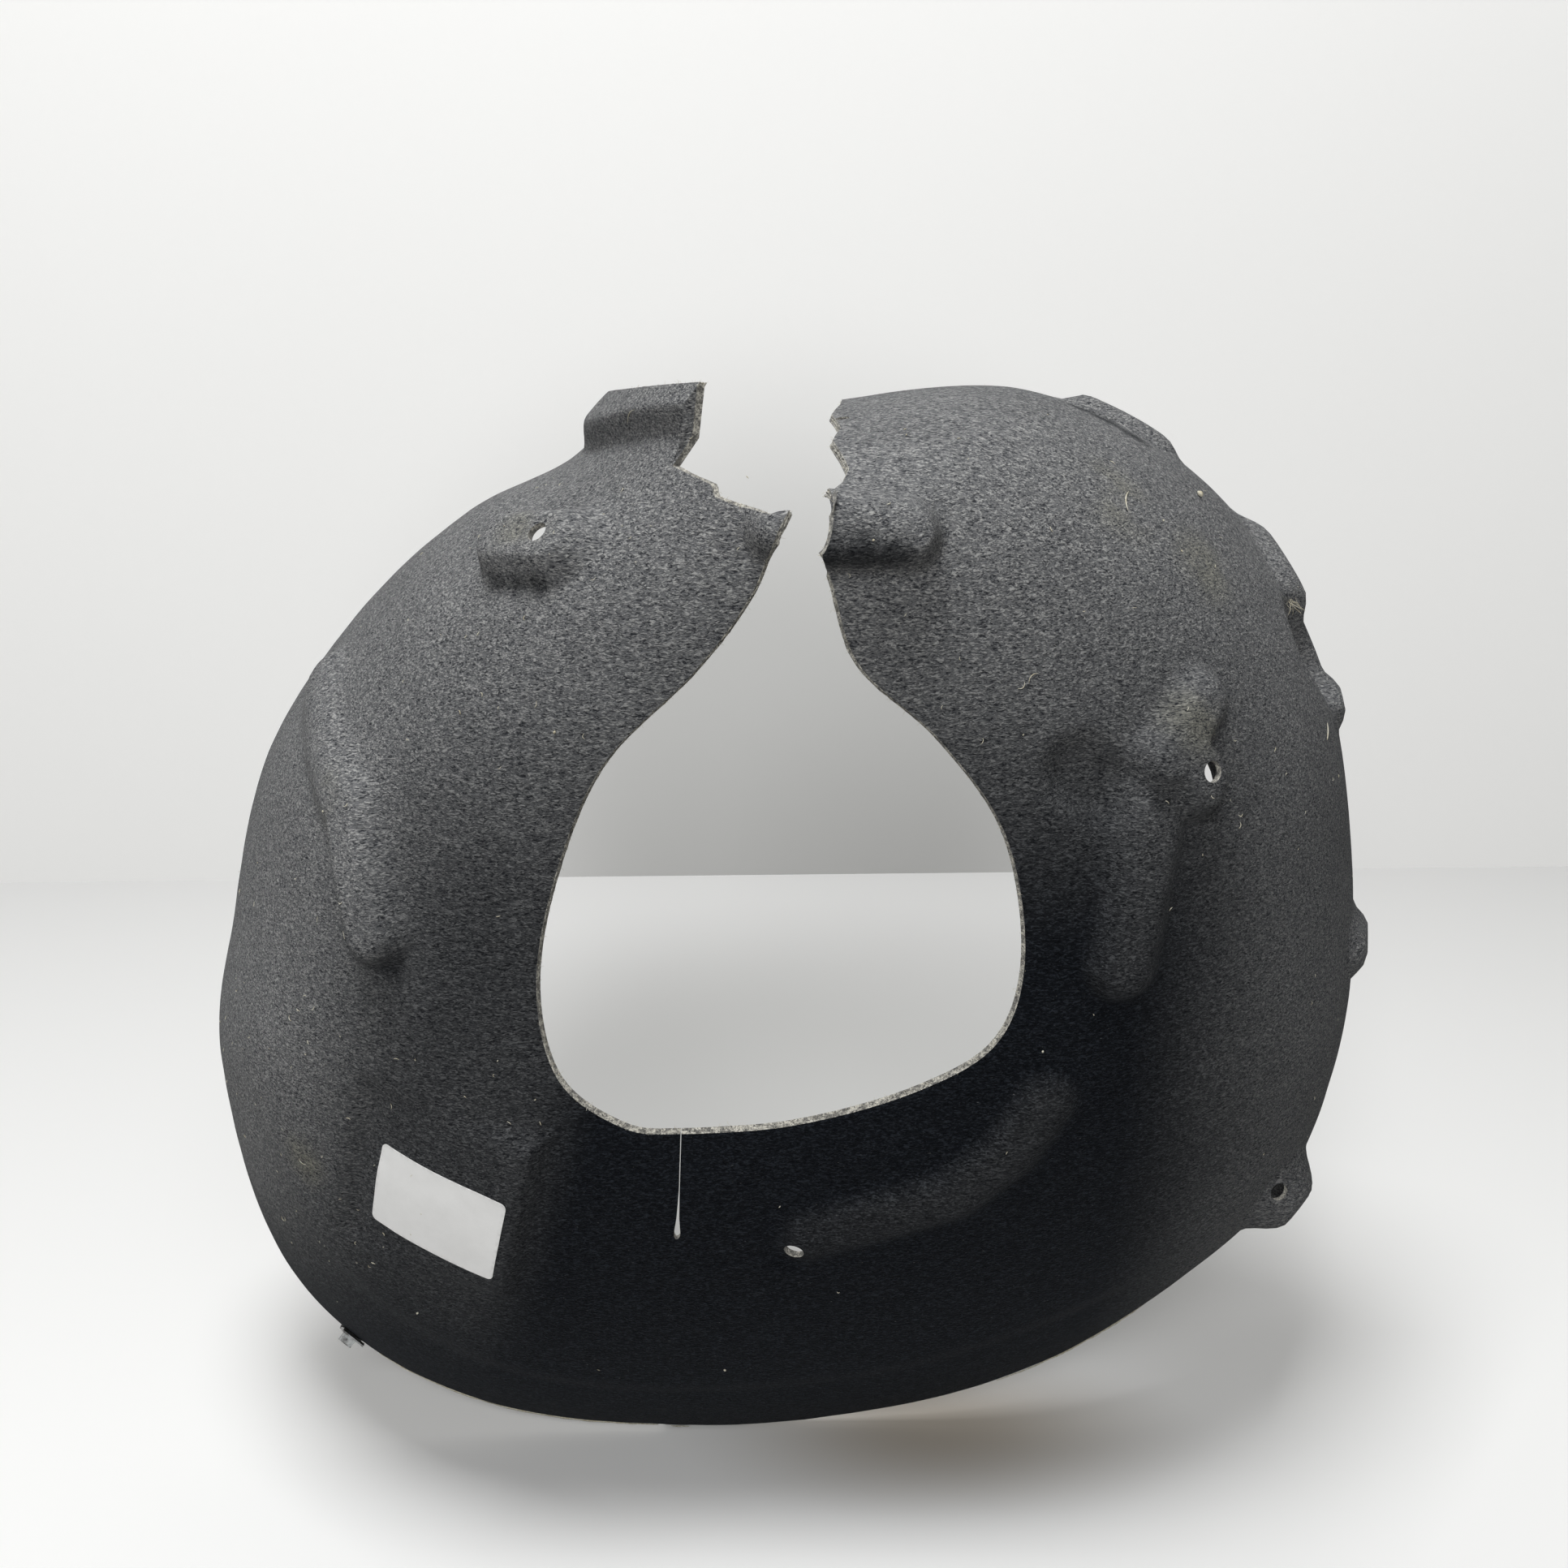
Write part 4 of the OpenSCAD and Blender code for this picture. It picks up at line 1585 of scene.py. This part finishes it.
@dataclass
class Studio:
    """A white table and wall under soft lamps, which light the liner from above and in front."""

    wall_gap: float = 1.084
    half_width: float = 5.0
    front_run: float = 5.0
    wall_height: float = 5.0
    floor_tone: Triple = (0.96, 0.965, 0.96)
    wall_tone: Triple = (0.93, 0.935, 0.925)
    bounce_tone: Triple = (0.30, 0.295, 0.285)
    sky_tone: Triple = (0.84, 0.84, 0.83)
    sky_cast: Triple = (1.0, 0.95, 0.87)
    sky_light: float = 0.08
    wall_glow: float = 0.12
    # The wall's tone in the liner's painted shadow, that shadow's height above the floor, and its reach.
    wall_painted_shadow: Triple = (0.72, 0.725, 0.715)
    wall_shadow_height: float = 0.10
    wall_shadow_reach: Pair = (0.18, 0.62)
    # The floor's tone in the painted shadow behind the liner, its reach, and its distance behind the rim's
    # foot.
    floor_painted_shadow: Triple = (0.70, 0.705, 0.695)
    floor_painted_shadow_reach: Pair = (0.08, 0.56)
    floor_painted_shadow_gap: float = 0.48
    # A warm painted contact shadow round the rim's foot: its tone, place, stretch and reach.
    contact_shadow_tone: Triple = (0.46, 0.42, 0.365)
    contact_shadow_at: Pair = (0.085, -0.005)
    contact_shadow_shape: Triple = (0.5, 1.0, 1.0)
    contact_shadow_reach: Pair = (0.005, 0.085)
    lamps: dict = field(default_factory=lambda: {
        Light.OVERHEAD: ((-0.4, -0.5, 3.5), 1.4, 84.0),
        Light.FRONT: ((-0.5, -3.5, 2.3), 1.8, 100.0),
    })

    def finish(self, n: Nodes, pale: Socket) -> Material:
        """Return a matt backdrop finish that is pale to the eye and throws little light back."""
        n.set(Base_Color=n.mix(seen(n.tree), self.bounce_tone, pale), Roughness=0.9, Specular_IOR_Level=0.1)
        return n.material

    def floor_finish(self, spot: Vector, foot: Vector) -> Material:
        """Return the floor's finish: pale, with a painted shadow behind the liner and a warm, dark painted
        contact shadow where the rim stands.

        Args:
            spot: Middle of the painted shadow behind the liner.
            foot: Middle of the painted contact shadow.

        Returns:
            The floor's material.
        """
        n = Nodes("floor")
        # Painted shadows: dimmer behind the liner, and warm and dark round the rim's foot.
        clear = n.band(n.distance(spot), *self.floor_painted_shadow_reach)
        shape = self.contact_shadow_shape
        away = n.band(n.distance(foot * Vector(shape), n.stretch(shape)), *self.contact_shadow_reach)
        dimmed = n.mix(clear, self.floor_painted_shadow, self.floor_tone)
        return self.finish(n, n.mix(away, self.contact_shadow_tone, dimmed))

    def wall_finish(self, low: Vector) -> Material:
        """Return the wall's finish: pale, and dimmer behind the liner, where the liner's shadow is painted on
        it and its glow is left out.

        Args:
            low: Place on the wall's foot behind the liner.

        Returns:
            The wall's material.
        """
        n = Nodes("wall")
        # Painted shadow of the liner on the wall: the tone dims and the glow drops away near this spot.
        clear = n.band(n.distance(low + Vector((0, 0, self.wall_shadow_height))), *self.wall_shadow_reach)
        glow = n.math("MULTIPLY", n.math("MULTIPLY", seen(n.tree), clear), self.wall_glow)
        n.set(Emission_Color=(1, 1, 1, 1), Emission_Strength=glow)
        return self.finish(n, n.mix(clear, self.wall_painted_shadow, self.wall_tone))

    def board(self, name: str, start: Pair, end: Pair, finish: Material) -> Piece:
        """Make a wide board between two lines.

        Args:
            name: The board's name.
            start: First line's y and z in metres.
            end: Second line's y and z.
            finish: The piece's finish.

        Returns:
            The board.
        """
        w = self.half_width
        corners = [(-w, *start), (w, *start), (w, *end), (-w, *end)]
        return new_object(name, corners, [[0, 1, 2, 3]], [finish])

    def build(self) -> None:
        """Make the floor, the wall, the lamps and the world's light."""
        floor_z = CAD_BOX[0].z
        foot_y = float(to_frame(np.zeros(3))[1])
        wall_y = foot_y + self.wall_gap
        # Middles of the floor's painted shadows: one behind the liner and one at the rim's foot.
        spot = Vector((0, foot_y + self.floor_painted_shadow_gap, floor_z))
        foot = Vector((self.contact_shadow_at[0], foot_y + self.contact_shadow_at[1], floor_z))
        floor = self.board("floor", (foot_y - self.front_run, floor_z), (wall_y, floor_z),
                           self.floor_finish(spot, foot))
        wall = self.board("backdrop", (wall_y, floor_z), (wall_y, floor_z + self.wall_height),
                          self.wall_finish(Vector((0, wall_y, floor_z))))
        for light, (place_at, size, power) in self.lamps.items():
            self.lamp(light.value, Vector(place_at), size, power)
        self.world()

    def lamp(self, name: str, spot: Vector, size: float, power: float) -> None:
        """Make one square soft lamp that faces the liner's middle.

        Args:
            name: The lamp's name.
            spot: Its place in metres.
            size: Its width in metres.
            power: Its power in watts.
        """
        data = bpy.data.lights.new(name, "AREA")
        data.shape = "SQUARE"
        data.size = size
        data.energy = power
        lamp = bpy.data.objects.new(name, data)
        lamp.location = spot
        middle = (CAD_BOX[0] + CAD_BOX[1]) / 2
        lamp.rotation_euler = (middle - spot).to_track_quat("-Z", "Y").to_euler()
        bpy.context.scene.collection.objects.link(lamp)

    def world(self) -> None:
        """Light the scene evenly, and show a pale tone to the camera and in reflections."""
        world = bpy.data.worlds.new("studio")
        bpy.context.scene.world = world
        world.use_nodes = True
        tree = world.node_tree
        lit = tree.nodes["Background"]
        lit.inputs["Color"].default_value = (*self.sky_cast, 1)
        lit.inputs["Strength"].default_value = self.sky_light
        shown = tree.nodes.new("ShaderNodeBackground")
        shown.inputs["Color"].default_value = (*self.sky_tone, 1)
        mix = tree.nodes.new("ShaderNodeMixShader")
        tree.links.new(seen(tree), mix.inputs["Fac"])
        tree.links.new(lit.outputs[0], mix.inputs[1])
        tree.links.new(shown.outputs[0], mix.inputs[2])
        tree.links.new(mix.outputs[0], tree.nodes["World Output"].inputs["Surface"])


def main() -> None:
    """Build the studio, then each piece of the liner, in order."""
    logging.basicConfig(level=logging.INFO, format="%(name)s %(message)s")
    bpy.context.scene.view_settings.view_transform = "Standard"
    Viewpoint().build()
    Studio().build()
    nap, cut = FeltFinish().build(), CutEdgeFinish().build()
    moulding, straw = FeltMoulding(), StrawFinish().build()
    place(moulding.build(nap, cut), "felt", "liner")
    place(EdgeFibres().build(moulding.border, straw), "felt")
    place(Litter().build(straw), "felt")
    place(PaperLabel().build(PaperFinish().build()), "label_paper", "label")
    report(SpringClip().dress(SteelFinish().build()))


if __name__ == "__main__":
    main()
